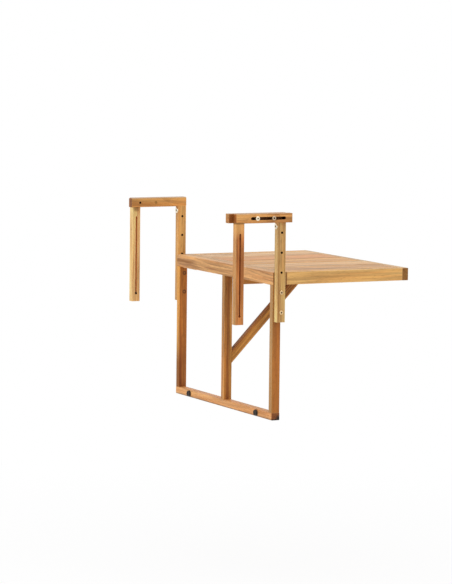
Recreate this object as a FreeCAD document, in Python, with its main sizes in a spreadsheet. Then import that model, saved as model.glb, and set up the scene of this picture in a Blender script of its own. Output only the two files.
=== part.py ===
import FreeCAD, Part
import os
import re

# Rail-hung folding balcony table.
# X runs along the railing, +Y is away from it and Z is up.
# The origin is midway between the hooks, at the arms' underside,
# and in the plane of the frame's railing side.

doc = FreeCAD.newDocument("balcony_table")
sheet = doc.addObject("Spreadsheet::Sheet", "Sizes")

# Driving sizes in millimetres and degrees
SIZES = [
    ("frame_width", 600, "over the ends of the rails"),
    ("frame_depth", 24, "posts and rails, across the railing"),
    ("post_thick", 18, "posts, along the railing"),
    ("post_length", 345, "between the rails"),
    ("top_rail_height", 34, "also the height of the leaf's boards"),
    ("bottom_rail_height", 20, "bottom rail"),
    ("dowel_diameter", 8, "frame and leaf dowels"),
    ("dowel_length", 24, "half in each piece"),
    ("dowel_play", 0.1, "radial room in a dowel hole"),
    ("edge_round", 1.5, "eased long edges of the wood"),
    ("upright_thick", 20, "uprights, arms and legs, along the railing"),
    ("upright_depth", 24, "uprights, across the railing"),
    ("upright_length", 269, "below the arm"),
    ("upright_setback", 3, "railing side of the frame to that of the upright"),
    ("hole_end", 26.5, "lowest hole above the upright's end"),
    ("hole_drop", 28.5, "highest hole below the arm"),
    ("bolt_to_rail", 18.5, "upper bolt below the top rail"),
    ("arm_length", 170, "fixed arms"),
    ("hook_arm_length", 166, "slotted arms"),
    ("arm_height", 25, "fixed and slotted arms"),
    ("arm_hole_start", 26, "first cross hole from the fixed arm's free end"),
    ("arm_hole_pitch", 48.5, "cross holes of the fixed arm"),
    ("rebate_depth", 2, "upright and leg let into their arms"),
    ("tenon_thick", 10, "arm tenons, along the railing"),
    ("tenon_width", 16, "arm tenons, across the railing"),
    ("tenon_length", 22, "arm tenons below the arm"),
    ("tenon_play", 0.1, "room round a tenon"),
    ("arm_shift", 12, "slotted arm ahead of the fixed arm as photographed"),
    ("slot_start", 43, "slot from the slotted arm's hook end"),
    ("slot_length", 103.5, "end to end"),
    ("slot_width", 8, "slot for the clamp bolts"),
    ("slide_gap", 0.1, "between faces that slide"),
    ("leg_depth", 24, "hook leg, across the railing"),
    ("leg_slot_top", 27, "keyhole slot below the arm"),
    ("leg_slot_width", 5, "keyhole slot"),
    ("leg_hole_diameter", 7, "hole at the keyhole's lower end"),
    ("leg_hole_end", 23, "that hole above the leg's end"),
    ("bolt_diameter", 6, "connector bolts"),
    ("bolt_play", 0.25, "radial room in a bolt hole"),
    ("head_diameter", 12, "connector bolt heads"),
    ("head_thick", 2.5, "connector bolt heads"),
    ("head_bevel", 0.8, "rim of the heads"),
    ("socket_radius", 2.31, "hex socket for a 4 mm key, corner radius"),
    ("socket_depth", 2.2, "hex socket"),
    ("bolt_end_gap", 1, "bolt end inside the insert's mouth"),
    ("insert_diameter", 9, "threaded inserts"),
    ("insert_length", 12, "threaded inserts"),
    ("insert_play", 0.05, "radial room round an insert and inside it"),
    ("stop_drop", 12, "stop bolt below the arm"),
    ("stop_length", 16, "stop bolt shank"),
    ("stop_head_diameter", 16, "stop bolt heads"),
    ("stop_socket_radius", 2.89, "hex socket for a 5 mm key, corner radius"),
    ("bumper_diameter", 18, "rubber bumpers, on the rail"),
    ("bumper_face_diameter", 15, "rubber bumpers, on the railing"),
    ("bumper_thick", 6, "rubber bumpers"),
    ("bumper_inset", 90, "bumper centre from the rail's end"),
    ("bumper_recess_diameter", 9, "screw recess"),
    ("bumper_recess_depth", 3, "screw recess"),
    ("screw_diameter", 4, "bumper screws"),
    ("screw_head_diameter", 8, "bumper screws"),
    ("screw_head_thick", 2, "bumper screws"),
    ("screw_length", 15, "bumper screws below the head"),
    ("screw_play", 0.1, "radial room round a screw"),
    ("leaf_depth", 390, "leaf, across the railing"),
    ("leaf_gap", 1, "top rail to leaf"),
    ("leaf_side_gap", 1.5, "leaf end to upright"),
    ("board_thick", 18, "leaf boards"),
    ("slat_thick", 16, "slats"),
    ("slat_gap", 5, "between slats"),
    ("slat_round", 3, "rounded long edges of the slats"),
    ("ledger_size", 15, "square strips under the slat ends"),
    ("rib_thick", 18, "ribs either side of the strut"),
    ("rib_drop", 24, "ribs below the boards"),
    ("rib_play", 1, "rib to strut and post"),
    ("strut_thick", 18, "strut, along the railing"),
    ("strut_depth", 24, "strut, across its length"),
    ("strut_angle", 46, "strut above the horizontal"),
    ("strut_reach", 207, "hinge pin to strut pivot, across the railing"),
    ("pivot_drop", 11.5, "strut pivot below the boards"),
    ("foot_gap", 0.3, "strut foot to post"),
    ("pivot_diameter", 8, "pivot bolt"),
    ("pivot_play", 0.05, "radial running room on the pivot bolt"),
    ("pivot_head_diameter", 16, "pivot bolt head"),
    ("pivot_head_thick", 3, "pivot bolt head"),
    ("nut_radius", 7.5, "pivot nut, corner radius"),
    ("nut_thick", 6, "pivot nut"),
    ("hinge_length", 50, "butt hinges, along the railing"),
    ("hinge_plate", 15, "each hinge plate, across the railing"),
    ("hinge_plate_thick", 1.5, "hinge plates"),
    ("hinge_inset", 50, "hinge centre from the frame's end"),
    ("knuckle_diameter", 6, "hinge knuckles"),
    ("knuckle_length", 16, "middle knuckle, on the leaf plate"),
    ("knuckle_gap", 0.5, "between knuckles"),
    ("hinge_pin_diameter", 3, "hinge pins"),
    ("hinge_pin_play", 0.05, "radial running room on the hinge pin"),
]
HOLE_COUNT = 5
BOLTED_HOLES = (0, 1)
ARM_HOLE_COUNT = 3
CLAMPED_HOLES = (1, 2)
SLAT_COUNT = 5
HEX = 6
OVERSHOOT = "2"

# Places worked out from the driving sizes
PLACES = {
    "frame_end": "frame_width / 2",
    "post_in": "frame_end - post_thick",
    "upright_out": "frame_end + upright_thick",
    "upright_mid": "frame_end + upright_thick / 2",
    "upright_back": "upright_setback + upright_depth",
    "bolt_line": "upright_setback + upright_depth / 2",
    "low_hole": "hole_end - upright_length",
    "hole_pitch": f"(upright_length - hole_end - hole_drop) / {HOLE_COUNT - 1}",
    "rail_under": "low_hole + hole_pitch + bolt_to_rail",
    "rail_top": "rail_under + top_rail_height",
    "post_foot": "rail_under - post_length",
    "frame_under": "post_foot - bottom_rail_height",
    "bolt_hole": "bolt_diameter / 2 + bolt_play",
    "arm_tip": "upright_back - arm_length",
    "arm_mid": "arm_height / 2",
    "hook_tip": "arm_tip + arm_shift",
    "hook_in": "upright_out + slide_gap",
    "hook_out": "hook_in + upright_thick",
    "hook_mid": "hook_in + upright_thick / 2",
    "leg_line": "hook_tip + leg_depth / 2",
    "leg_hole": "leg_hole_end - upright_length",
    "clamp_seat": "hook_out + slide_gap",
    "bumper_line": "frame_end - bumper_inset",
    "bumper_height": "frame_under + bottom_rail_height / 2",
    "leaf_end": "frame_end - leaf_side_gap",
    "leaf_start": "frame_depth + leaf_gap",
    "leaf_stop": "leaf_start + leaf_depth",
    "bay_start": "leaf_start + board_thick",
    "bay_stop": "leaf_stop - board_thick",
    "bay_end": "leaf_end - board_thick",
    "slat_under": "rail_top - slat_thick",
    "rib_in": "post_thick / 2 + rib_play",
    "rib_out": "rib_in + rib_thick",
    "rib_under": "rail_under - rib_drop",
    "hinge_line": "frame_depth + leaf_gap / 2",
    "hinge_height": "rail_under - knuckle_diameter / 2",
    "hinge_mid": "frame_end - hinge_inset",
    "hinge_reach": "knuckle_diameter / 2 + knuckle_gap",
    "pivot_line": "hinge_line + strut_reach",
    "pivot_height": "rail_under - pivot_drop",
    "foot_line": "frame_depth + foot_gap",
    "strut_run": "(pivot_line - foot_line) / cos(strut_angle) + strut_depth",
}

for row, (alias, value, note) in enumerate(SIZES, 1):
    sheet.set(f"A{row}", alias)
    sheet.set(f"B{row}", str(value))
    sheet.setAlias(f"B{row}", alias)
    sheet.set(f"C{row}", note)
doc.recompute()
ALIASES = {alias for alias, value, note in SIZES}


def formula(text):
    """The formula with each place spelled out and each size read from the sheet."""

    def spelled(found):
        word = found.group()
        if word in PLACES:
            return "(" + formula(PLACES[word]) + ")"
        return "Sizes." + word if word in ALIASES else word

    return re.sub(r"[a-z][a-z_]*", spelled, text)


def bind(piece, **sizes):
    """Ties properties of a piece to formulas."""
    for name, text in sizes.items():
        piece.setExpression(name, formula(text))


def locate(piece, x, y, z):
    """Ties the place of a piece to formulas."""
    for axis, text in zip("xyz", (x, y, z)):
        piece.setExpression(f".Placement.Base.{axis}", formula(text))


# Shapes that the pieces are made from
def block(name, x, y, z):
    """A box between two formulas on each axis."""
    made = doc.addObject("Part::Box", name)
    spans = [f"({high}) - ({low})" for low, high in (x, y, z)]
    bind(made, Length=spans[0], Width=spans[1], Height=spans[2])
    locate(made, x[0], y[0], z[0])
    return made


TURNS = {
    "X": FreeCAD.Rotation(FreeCAD.Vector(0, 1, 0), 90),
    "Y": FreeCAD.Rotation(FreeCAD.Vector(1, 0, 0), -90),
    "-Y": FreeCAD.Rotation(FreeCAD.Vector(1, 0, 0), 90),
    "Z": FreeCAD.Rotation(),
}


def rod(name, way, start, radius, length):
    """A round bar from its start point, along one axis."""
    made = doc.addObject("Part::Cylinder", name)
    made.Placement = FreeCAD.Placement(FreeCAD.Vector(), TURNS[way])
    bind(made, Radius=radius, Height=length)
    locate(made, *start)
    return made


def eased(name, wood, rounding="edge_round"):
    """The wood with its four long edges rounded."""
    doc.recompute()
    radius = sheet.get(rounding)
    edges = wood.Shape.Edges
    longest = max(edge.Length for edge in edges)
    made = doc.addObject("Part::Fillet", name)
    made.Base = wood
    made.Edges = [(i, radius, radius) for i, edge in enumerate(edges, 1) if edge.Length > 0.99 * longest]
    return made


def lath(name, x, y, z, rounding="edge_round"):
    """A bar of wood with eased long edges."""
    return eased(name + "_lath", block(name + "_blank", x, y, z), rounding)


def joined(name, *pieces):
    made = doc.addObject("Part::MultiFuse", name)
    made.Shapes = list(pieces)
    return made


def cut(name, base, *tools):
    made = doc.addObject("Part::Cut", name)
    made.Base = base
    made.Tool = tools[0] if len(tools) == 1 else joined(name + "_tools", *tools)
    return made


def mirrored(name, source):
    made = doc.addObject("Part::Mirroring", name)
    made.Source = source
    made.Normal = FreeCAD.Vector(1, 0, 0)
    return made


def group(name, *pieces):
    made = doc.addObject("Part::Compound", name)
    made.Links = list(pieces)
    return made


def pair(name, piece):
    """A right-hand piece or group together with its left-hand twin."""
    return group(name, piece, mirrored(name + "_twin", piece))


COMMON_HEAD = ("head_diameter", "head_thick", "socket_radius")
STOP_HEAD = ("stop_head_diameter", "head_thick", "stop_socket_radius")
PIVOT_HEAD = ("pivot_head_diameter", "pivot_head_thick", "socket_radius")


def connector_bolt(name, way, seat, length, head=COMMON_HEAD, shank="bolt_diameter"):
    """A flat round head with a hex socket on a plain shank. The seat is under the head."""
    head_size, head_height, key = head
    cap = rod(name + "_cap", "Z", ("0", "0", "0"), head_size + " / 2", head_height)
    doc.recompute()
    top = max(range(len(cap.Shape.Edges)), key=lambda i: cap.Shape.Edges[i].BoundBox.ZMin)
    bevelled = doc.addObject("Part::Chamfer", name + "_bevelled")
    bevelled.Base = cap
    bevelled.Edges = [(top + 1, sheet.get("head_bevel"), sheet.get("head_bevel"))]
    stem = rod(name + "_stem", "Z", ("0", "0", f"0 - ({length})"), shank + " / 2", length)
    socket = doc.addObject("Part::Prism", name + "_socket")
    socket.Polygon = HEX
    bind(socket, Circumradius=key, Height="socket_depth + " + OVERSHOOT)
    locate(socket, "0", "0", head_height + " - socket_depth")
    made = cut(name, joined(name + "_blank", bevelled, stem), socket)
    made.Placement = FreeCAD.Placement(FreeCAD.Vector(), TURNS[way])
    locate(made, *seat)
    return made


def insert(name, mouth):
    """A threaded sleeve along X, with its mouth towards -X."""
    sleeve = rod(name + "_sleeve", "X", mouth, "insert_diameter / 2", "insert_length")
    x, y, z = mouth
    bore = rod(name + "_bore", "X", (f"{x} - {OVERSHOOT}", y, z), "bolt_diameter / 2 + insert_play",
               f"insert_length + 2 * {OVERSHOOT}")
    return cut(name, sleeve, bore)


def dowel(name, way, x, y, z):
    """A dowel centred on a joint, and the tool that bores its hole in both pieces."""
    end = {"X": x, "Y": y, "Z": z}
    end[way] += " - dowel_length / 2"
    peg = rod(name, way, end.values(), "dowel_diameter / 2", "dowel_length")
    end[way] += " - dowel_play"
    bore = rod(name + "_bore", way, end.values(), "dowel_diameter / 2 + dowel_play",
               "dowel_length + 2 * dowel_play")
    return peg, bore


def hole_height(step):
    return f"low_hole + {step} * hole_pitch"


def arm_hole(step):
    return f"arm_tip + arm_hole_start + {step} * arm_hole_pitch"


parts = {}

# Back frame: rails and posts on dowels
post_lines = {"left": "0 - frame_end + post_thick / 2", "centre": "0", "right": "frame_end - post_thick / 2"}
frame_pegs, top_bores, foot_bores = [], {}, {}
for side, line in post_lines.items():
    peg, top_bores[side] = dowel(f"top_dowel_{side}", "Z", line, "frame_depth / 2", "rail_under")
    frame_pegs.append(peg)
    peg, foot_bores[side] = dowel(f"foot_dowel_{side}", "Z", line, "frame_depth / 2", "post_foot")
    frame_pegs.append(peg)
parts["frame_dowels"] = group("frame_dowels", *frame_pegs)

rail_span = ("0 - frame_end", "frame_end")
depth_span = ("0", "frame_depth")
top_rail = lath("top_rail", rail_span, depth_span, ("rail_under", "rail_top"))
parts["top_rail"] = cut("top_rail", top_rail, *top_bores.values())

screw_bores = []
for side, sign in (("right", ""), ("left", "0 - ")):
    start = (f"{sign}(bumper_line)", "0 - " + OVERSHOOT, "bumper_height")
    length = f"{OVERSHOOT} + screw_length - bumper_thick + bumper_recess_depth + screw_play"
    screw_bores.append(rod(f"bumper_bore_{side}", "Y", start, "screw_diameter / 2 + screw_play", length))
bottom_rail = lath("bottom_rail", rail_span, depth_span, ("frame_under", "post_foot"))
parts["bottom_rail"] = cut("bottom_rail", bottom_rail, *foot_bores.values(), *screw_bores)

post_span = ("post_foot", "rail_under")
post_centre = lath("post_centre", ("0 - post_thick / 2", "post_thick / 2"), depth_span, post_span)
parts["post_centre"] = cut("post_centre", post_centre, top_bores["centre"], foot_bores["centre"])

bolt_bores = []
for step in BOLTED_HOLES:
    through = (f"post_in - {OVERSHOOT}", "bolt_line", hole_height(step))
    bolt_bores.append(rod(f"post_bore_{step}", "X", through, "bolt_hole", f"post_thick + 2 * {OVERSHOOT}"))
    bolt_bores.append(rod(f"post_pocket_{step}", "X", through, "insert_diameter / 2 + insert_play",
                          f"insert_length + insert_play + {OVERSHOOT}"))
post_right = lath("post_right", ("post_in", "frame_end"), depth_span, post_span)
parts["post_right"] = cut("post_right", post_right, top_bores["right"], foot_bores["right"], *bolt_bores)
parts["post_left"] = mirrored("post_left", parts["post_right"])

# Uprights with the row of height holes and the arm's mortise
mortise = block("upright_mortise",
                ("upright_mid - tenon_thick / 2 - tenon_play", "upright_mid + tenon_thick / 2 + tenon_play"),
                ("bolt_line - tenon_width / 2 - tenon_play", "bolt_line + tenon_width / 2 + tenon_play"),
                ("0 - tenon_length - tenon_play", "rebate_depth + " + OVERSHOOT))
upright_bores = []
for step in range(HOLE_COUNT):
    start = (f"frame_end - {OVERSHOOT}", "bolt_line", hole_height(step))
    length = f"upright_thick + 2 * {OVERSHOOT}"
    upright_bores.append(rod(f"upright_bore_{step}", "X", start, "bolt_hole", length))
stop_start = ("upright_mid", f"upright_setback - {OVERSHOOT}", "0 - stop_drop")
stop_bore = rod("stop_bore", "Y", stop_start, "bolt_hole", f"stop_length + bolt_play + {OVERSHOOT}")
upright_span = ("0 - upright_length", "rebate_depth")
upright = lath("upright", ("frame_end", "upright_out"), ("upright_setback", "upright_back"), upright_span)
parts["upright_right"] = cut("upright_right", upright, mortise, stop_bore, *upright_bores)
parts["upright_left"] = mirrored("upright_left", parts["upright_right"])

# Fixed arms, rebated over the uprights
arm_bores = []
for step in range(ARM_HOLE_COUNT):
    through = (f"frame_end - {OVERSHOOT}", arm_hole(step), "arm_mid")
    arm_bores.append(rod(f"arm_bore_{step}", "X", through, "bolt_hole", f"upright_thick + 2 * {OVERSHOOT}"))
    if step in CLAMPED_HOLES:
        arm_bores.append(rod(f"arm_pocket_{step}", "X", through, "insert_diameter / 2 + insert_play",
                             f"insert_length + insert_play + {OVERSHOOT}"))
arm_rebate = block("arm_rebate", (f"frame_end - {OVERSHOOT}", f"upright_out + {OVERSHOOT}"),
                   ("upright_setback", f"upright_back + {OVERSHOOT}"), (f"0 - {OVERSHOOT}", "rebate_depth"))
arm_span = ("0", "arm_height")
arm_bar = lath("fixed_arm", ("frame_end", "upright_out"), ("arm_tip", "upright_back"), arm_span)
arm_tenon = block("fixed_arm_tenon", ("upright_mid - tenon_thick / 2", "upright_mid + tenon_thick / 2"),
                  ("bolt_line - tenon_width / 2", "bolt_line + tenon_width / 2"),
                  ("0 - tenon_length", "rebate_depth + " + OVERSHOOT))
arm_body = joined("fixed_arm_body", cut("fixed_arm_rebated", arm_bar, arm_rebate), arm_tenon)
parts["fixed_arm_right"] = cut("fixed_arm_right", arm_body, stop_bore, *arm_bores)
parts["fixed_arm_left"] = mirrored("fixed_arm_left", parts["fixed_arm_right"])

# Bolts and inserts of the uprights and arms
upright_bolts, upright_inserts, arm_bolts, arm_inserts = [], [], [], []
for step in BOLTED_HOLES:
    seat = ("upright_out", "bolt_line", hole_height(step))
    upright_bolts.append(connector_bolt(f"upright_bolt_{step}", "X", seat,
                                        "upright_thick + post_thick - bolt_end_gap"))
    upright_inserts.append(insert(f"upright_insert_{step}", ("post_in", "bolt_line", hole_height(step))))
for step in CLAMPED_HOLES:
    arm_bolts.append(connector_bolt(f"arm_bolt_{step}", "X", ("clamp_seat", arm_hole(step), "arm_mid"),
                                    "clamp_seat - frame_end - bolt_end_gap"))
    arm_inserts.append(insert(f"arm_insert_{step}", ("frame_end", arm_hole(step), "arm_mid")))
parts["upright_bolts"] = pair("upright_bolts", group("upright_bolts_right", *upright_bolts))
parts["upright_inserts"] = pair("upright_inserts", group("upright_inserts_right", *upright_inserts))
parts["arm_bolts"] = pair("arm_bolts", group("arm_bolts_right", *arm_bolts))
parts["arm_inserts"] = pair("arm_inserts", group("arm_inserts_right", *arm_inserts))
stop_seat = ("upright_mid", "upright_setback", "0 - stop_drop")
stop_bolt = connector_bolt("stop_bolt", "-Y", stop_seat, "stop_length", STOP_HEAD)
parts["stop_bolts"] = pair("stop_bolts", stop_bolt)

# Rubber bumpers with recessed screws
bumper_foot = doc.addObject("Part::Cone", "bumper_foot")
bumper_foot.Placement = FreeCAD.Placement(FreeCAD.Vector(), TURNS["-Y"])
bind(bumper_foot, Radius1="bumper_diameter / 2", Radius2="bumper_face_diameter / 2", Height="bumper_thick")
locate(bumper_foot, "bumper_line", "0", "bumper_height")
bumper_hole = rod("bumper_hole", "-Y", ("bumper_line", OVERSHOOT, "bumper_height"),
                  "screw_diameter / 2 + screw_play", f"bumper_thick + 2 * {OVERSHOOT}")
recess_floor = "bumper_recess_depth - bumper_thick"
bumper_recess = rod("bumper_recess", "-Y", ("bumper_line", recess_floor, "bumper_height"),
                    "bumper_recess_diameter / 2", f"bumper_recess_depth + {OVERSHOOT}")
parts["bumpers"] = pair("bumpers", cut("bumper_right", bumper_foot, bumper_hole, bumper_recess))
screw_head = rod("bumper_screw_head", "-Y", ("bumper_line", recess_floor, "bumper_height"),
                 "screw_head_diameter / 2", "screw_head_thick")
screw_stem = rod("bumper_screw_stem", "Y", ("bumper_line", recess_floor, "bumper_height"),
                 "screw_diameter / 2", "screw_length")
parts["bumper_screws"] = pair("bumper_screws", joined("bumper_screw_right", screw_head, screw_stem))

# Hooks: slotted arm and keyhole leg
slot_low = "hook_tip + slot_start + slot_width / 2"
slot_high = "hook_tip + slot_start + slot_length - slot_width / 2"
slot_span = (f"hook_in - {OVERSHOOT}", f"hook_out + {OVERSHOOT}")
slot_depth = f"upright_thick + 2 * {OVERSHOOT}"
arm_slot = joined(
    "arm_slot",
    block("arm_slot_middle", slot_span, (slot_low, slot_high),
          ("arm_mid - slot_width / 2", "arm_mid + slot_width / 2")),
    rod("arm_slot_low", "X", (slot_span[0], slot_low, "arm_mid"), "slot_width / 2", slot_depth),
    rod("arm_slot_high", "X", (slot_span[0], slot_high, "arm_mid"), "slot_width / 2", slot_depth))
hook_rebate = block("hook_rebate", slot_span, (f"hook_tip - {OVERSHOOT}", "hook_tip + leg_depth"),
                    (f"0 - {OVERSHOOT}", "rebate_depth"))
hook_bar = lath("slotted_arm", ("hook_in", "hook_out"), ("hook_tip", "hook_tip + hook_arm_length"), arm_span)
hook_tenon = block("slotted_arm_tenon", ("hook_mid - tenon_thick / 2", "hook_mid + tenon_thick / 2"),
                   ("leg_line - tenon_width / 2", "leg_line + tenon_width / 2"),
                   ("0 - tenon_length", "rebate_depth + " + OVERSHOOT))
hook_arm = cut("slotted_arm_cut", hook_bar, hook_rebate, arm_slot)
parts["slotted_arm_right"] = joined("slotted_arm_right", hook_arm, hook_tenon)
parts["slotted_arm_left"] = mirrored("slotted_arm_left", parts["slotted_arm_right"])

keyhole_top = "0 - leg_slot_top - leg_slot_width / 2"
keyhole = joined(
    "keyhole",
    block("keyhole_slot", slot_span, ("leg_line - leg_slot_width / 2", "leg_line + leg_slot_width / 2"),
          ("leg_hole", keyhole_top)),
    rod("keyhole_end", "X", (slot_span[0], "leg_line", keyhole_top), "leg_slot_width / 2", slot_depth),
    rod("keyhole_hole", "X", (slot_span[0], "leg_line", "leg_hole"), "leg_hole_diameter / 2", slot_depth))
leg_mortise = block("leg_mortise",
                    ("hook_mid - tenon_thick / 2 - tenon_play", "hook_mid + tenon_thick / 2 + tenon_play"),
                    ("leg_line - tenon_width / 2 - tenon_play", "leg_line + tenon_width / 2 + tenon_play"),
                    ("0 - tenon_length - tenon_play", "rebate_depth + " + OVERSHOOT))
leg = lath("hook_leg", ("hook_in", "hook_out"), ("hook_tip", "hook_tip + leg_depth"), upright_span)
parts["hook_leg_right"] = cut("hook_leg_right", leg, leg_mortise, keyhole)
parts["hook_leg_left"] = mirrored("hook_leg_left", parts["hook_leg_right"])

# Leaf: boards and ribs on dowels, slats on ledgers
leaf_pegs, inner_bores, outer_bores, side_bores, rib_bores = [], [], [], [], []
dowel_heights = {"low": "rail_under + top_rail_height / 4", "high": "rail_top - top_rail_height / 4"}
board_lines = {"right": "leaf_end - board_thick / 2", "left": "0 - leaf_end + board_thick / 2"}
rib_lines = {"right": "rib_in + rib_thick / 2", "left": "0 - rib_in - rib_thick / 2"}
for end, joint, bores in (("inner", "bay_start", inner_bores), ("outer", "bay_stop", outer_bores)):
    for side, line in board_lines.items():
        for level, height in dowel_heights.items():
            peg, bore = dowel(f"leaf_dowel_{end}_{side}_{level}", "Y", line, joint, height)
            leaf_pegs.append(peg)
            bores.append(bore)
            if side == "right":
                side_bores.append(bore)
    for side, line in rib_lines.items():
        peg, bore = dowel(f"rib_dowel_{end}_{side}", "Y", line, joint, "rail_under + dowel_diameter")
        leaf_pegs.append(peg)
        bores.append(bore)
        if side == "right":
            rib_bores.append(bore)
parts["leaf_dowels"] = group("leaf_dowels", *leaf_pegs)

board_height = ("rail_under", "rail_top")
leaf_span = ("0 - leaf_end", "leaf_end")
inner_board = lath("inner_board", leaf_span, ("leaf_start", "bay_start"), board_height)
parts["inner_board"] = cut("inner_board", inner_board, *inner_bores)
outer_board = lath("outer_board", leaf_span, ("bay_stop", "leaf_stop"), board_height)
parts["outer_board"] = cut("outer_board", outer_board, *outer_bores)
bay_span = ("bay_start", "bay_stop")
side_board = lath("side_board", ("bay_end", "leaf_end"), bay_span, board_height)
parts["side_board_right"] = cut("side_board_right", side_board, *side_bores)
parts["side_board_left"] = mirrored("side_board_left", parts["side_board_right"])

slat_width = f"(2 * bay_end - {SLAT_COUNT + 1} * slat_gap) / {SLAT_COUNT}"
for number in range(1, SLAT_COUNT + 1):
    start = f"slat_gap - bay_end + {number - 1} * ({slat_width} + slat_gap)"
    span = (start, f"{start} + {slat_width}")
    parts[f"slat_{number}"] = lath(f"slat_{number}", span, bay_span, ("slat_under", "rail_top"), "slat_round")

ledger_height = ("slat_under - ledger_size", "slat_under")
ledger_span = ("rib_out", "bay_end")
inner_strip = lath("ledger_inner", ledger_span, ("bay_start", "bay_start + ledger_size"), ledger_height)
outer_strip = lath("ledger_outer", ledger_span, ("bay_stop - ledger_size", "bay_stop"), ledger_height)
parts["ledger_inner"] = pair("ledger_inner", inner_strip)
parts["ledger_outer"] = pair("ledger_outer", outer_strip)

pivot_bore = rod("pivot_bore", "X", (f"0 - rib_out - {OVERSHOOT}", "pivot_line", "pivot_height"),
                 "pivot_diameter / 2 + pivot_play", f"2 * rib_out + 2 * {OVERSHOOT}")
rib = lath("rib", ("rib_in", "rib_out"), bay_span, ("rib_under", "slat_under"))
parts["rib_right"] = cut("rib_right", rib, pivot_bore, *rib_bores)
parts["rib_left"] = mirrored("rib_left", parts["rib_right"])

parts["pivot_bolt"] = connector_bolt("pivot_bolt", "X", ("rib_out", "pivot_line", "pivot_height"),
                                     "2 * rib_out + nut_thick", PIVOT_HEAD, "pivot_diameter")
nut_blank = doc.addObject("Part::Prism", "pivot_nut_blank")
nut_blank.Polygon = HEX
nut_blank.Placement = FreeCAD.Placement(FreeCAD.Vector(), TURNS["X"])
bind(nut_blank, Circumradius="nut_radius", Height="nut_thick")
locate(nut_blank, "0 - rib_out - nut_thick", "pivot_line", "pivot_height")
nut_start = (f"0 - rib_out - nut_thick - {OVERSHOOT}", "pivot_line", "pivot_height")
nut_bore = rod("pivot_nut_bore", "X", nut_start, "pivot_diameter / 2 + pivot_play",
               f"nut_thick + 2 * {OVERSHOOT}")
parts["pivot_nut"] = cut("pivot_nut", nut_blank, nut_bore)

# Strut: round head on the pivot, mitred foot at the centre post
strut_bar = doc.addObject("Part::Box", "strut_bar")
strut_bar.Placement = FreeCAD.Placement(FreeCAD.Vector(), FreeCAD.Rotation(FreeCAD.Vector(1, 0, 0), 45))
bind(strut_bar, Length="strut_thick", Width="strut_run", Height="strut_depth")
strut_bar.setExpression(".Placement.Rotation.Angle", formula("strut_angle"))
locate(strut_bar, "0 - strut_thick / 2",
       "pivot_line - strut_run * cos(strut_angle) + strut_depth / 2 * sin(strut_angle)",
       "pivot_height - strut_run * sin(strut_angle) - strut_depth / 2 * cos(strut_angle)")
strut_head = rod("strut_head", "X", ("0 - strut_thick / 2", "pivot_line", "pivot_height"), "strut_depth / 2",
                 "strut_thick")
foot_span = ("foot_line - 2 * strut_depth", "foot_line")
foot_cut = block("strut_foot_cut", ("0 - strut_thick", "strut_thick"), foot_span,
                 ("pivot_height - 2 * strut_run", "pivot_height"))
strut_blank = joined("strut_blank", eased("strut_eased", strut_bar), strut_head)
parts["strut"] = cut("strut", strut_blank, foot_cut, pivot_bore)

# Butt hinges: plates, knuckles and pins
hinge_start = "hinge_mid - hinge_length / 2"
hinge_end = "hinge_mid + hinge_length / 2"
middle_start = "hinge_mid - knuckle_length / 2"
middle_end = "hinge_mid + knuckle_length / 2"
plate_height = ("rail_under - hinge_plate_thick", "rail_under")
pin_bore = rod("hinge_bore", "X", (f"{hinge_start} - {OVERSHOOT}", "hinge_line", "hinge_height"),
               "hinge_pin_diameter / 2 + hinge_pin_play", f"hinge_length + 2 * {OVERSHOOT}")


def knuckle(name, span, tab):
    """One knuckle with the tab that joins it to its plate."""
    low, high = span
    barrel = rod(name + "_barrel", "X", (low, "hinge_line", "hinge_height"), "knuckle_diameter / 2",
                 f"({high}) - ({low})")
    return joined(name, barrel, block(name + "_tab", span, tab, plate_height))


frame_tab = ("hinge_line - hinge_reach", "hinge_line")
frame_plate = joined(
    "hinge_frame_plate",
    block("hinge_frame_flat", (hinge_start, hinge_end),
          ("hinge_line - hinge_reach - hinge_plate", "hinge_line - hinge_reach"), plate_height),
    knuckle("frame_knuckle_low", (hinge_start, f"{middle_start} - knuckle_gap"), frame_tab),
    knuckle("frame_knuckle_high", (f"{middle_end} + knuckle_gap", hinge_end), frame_tab))
parts["hinge_frame_plates"] = pair("hinge_frame_plates", cut("hinge_frame_right", frame_plate, pin_bore))
leaf_tab = ("hinge_line", "hinge_line + hinge_reach")
leaf_plate = joined(
    "hinge_leaf_plate",
    block("hinge_leaf_flat", (hinge_start, hinge_end),
          ("hinge_line + hinge_reach", "hinge_line + hinge_reach + hinge_plate"), plate_height),
    knuckle("leaf_knuckle", (middle_start, middle_end), leaf_tab))
parts["hinge_leaf_plates"] = pair("hinge_leaf_plates", cut("hinge_leaf_right", leaf_plate, pin_bore))
hinge_pin = rod("hinge_pin_right", "X", (hinge_start, "hinge_line", "hinge_height"), "hinge_pin_diameter / 2",
                "hinge_length")
parts["hinge_pins"] = pair("hinge_pins", hinge_pin)

# Check the document and write one file for each part
doc.recompute()
for item in doc.Objects:
    if "Invalid" in item.State or "Error" in item.State:
        raise RuntimeError(f"{item.Name} did not build: {item.State}")
os.makedirs("parts", exist_ok=True)
for node, item in parts.items():
    item.Label = node
    if item.Shape.isNull() or not item.Shape.isValid() or not item.Shape.Solids:
        raise RuntimeError(f"{node} is not a valid solid")
    item.Shape.exportStep(f"parts/{node}.step")
    print(node, len(item.Shape.Solids), "solids", round(item.Shape.Volume), "mm3")
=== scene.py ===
# %% [markdown]
# This table hangs on a balcony railing. A back frame lies against the railing, a slatted leaf folds down
# from it, and a strut under the leaf props it against the middle post. Two sliding hooks go over the railing.
# All its solids come ready made, in metres, with X along the railing, Y away from it and Z up.
# The lesson gives them oiled wood, plated steel and rubber, adds the small screws, and sets up the studio.

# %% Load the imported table
import math
import bpy
from mathutils import Euler, Matrix, Vector


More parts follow.
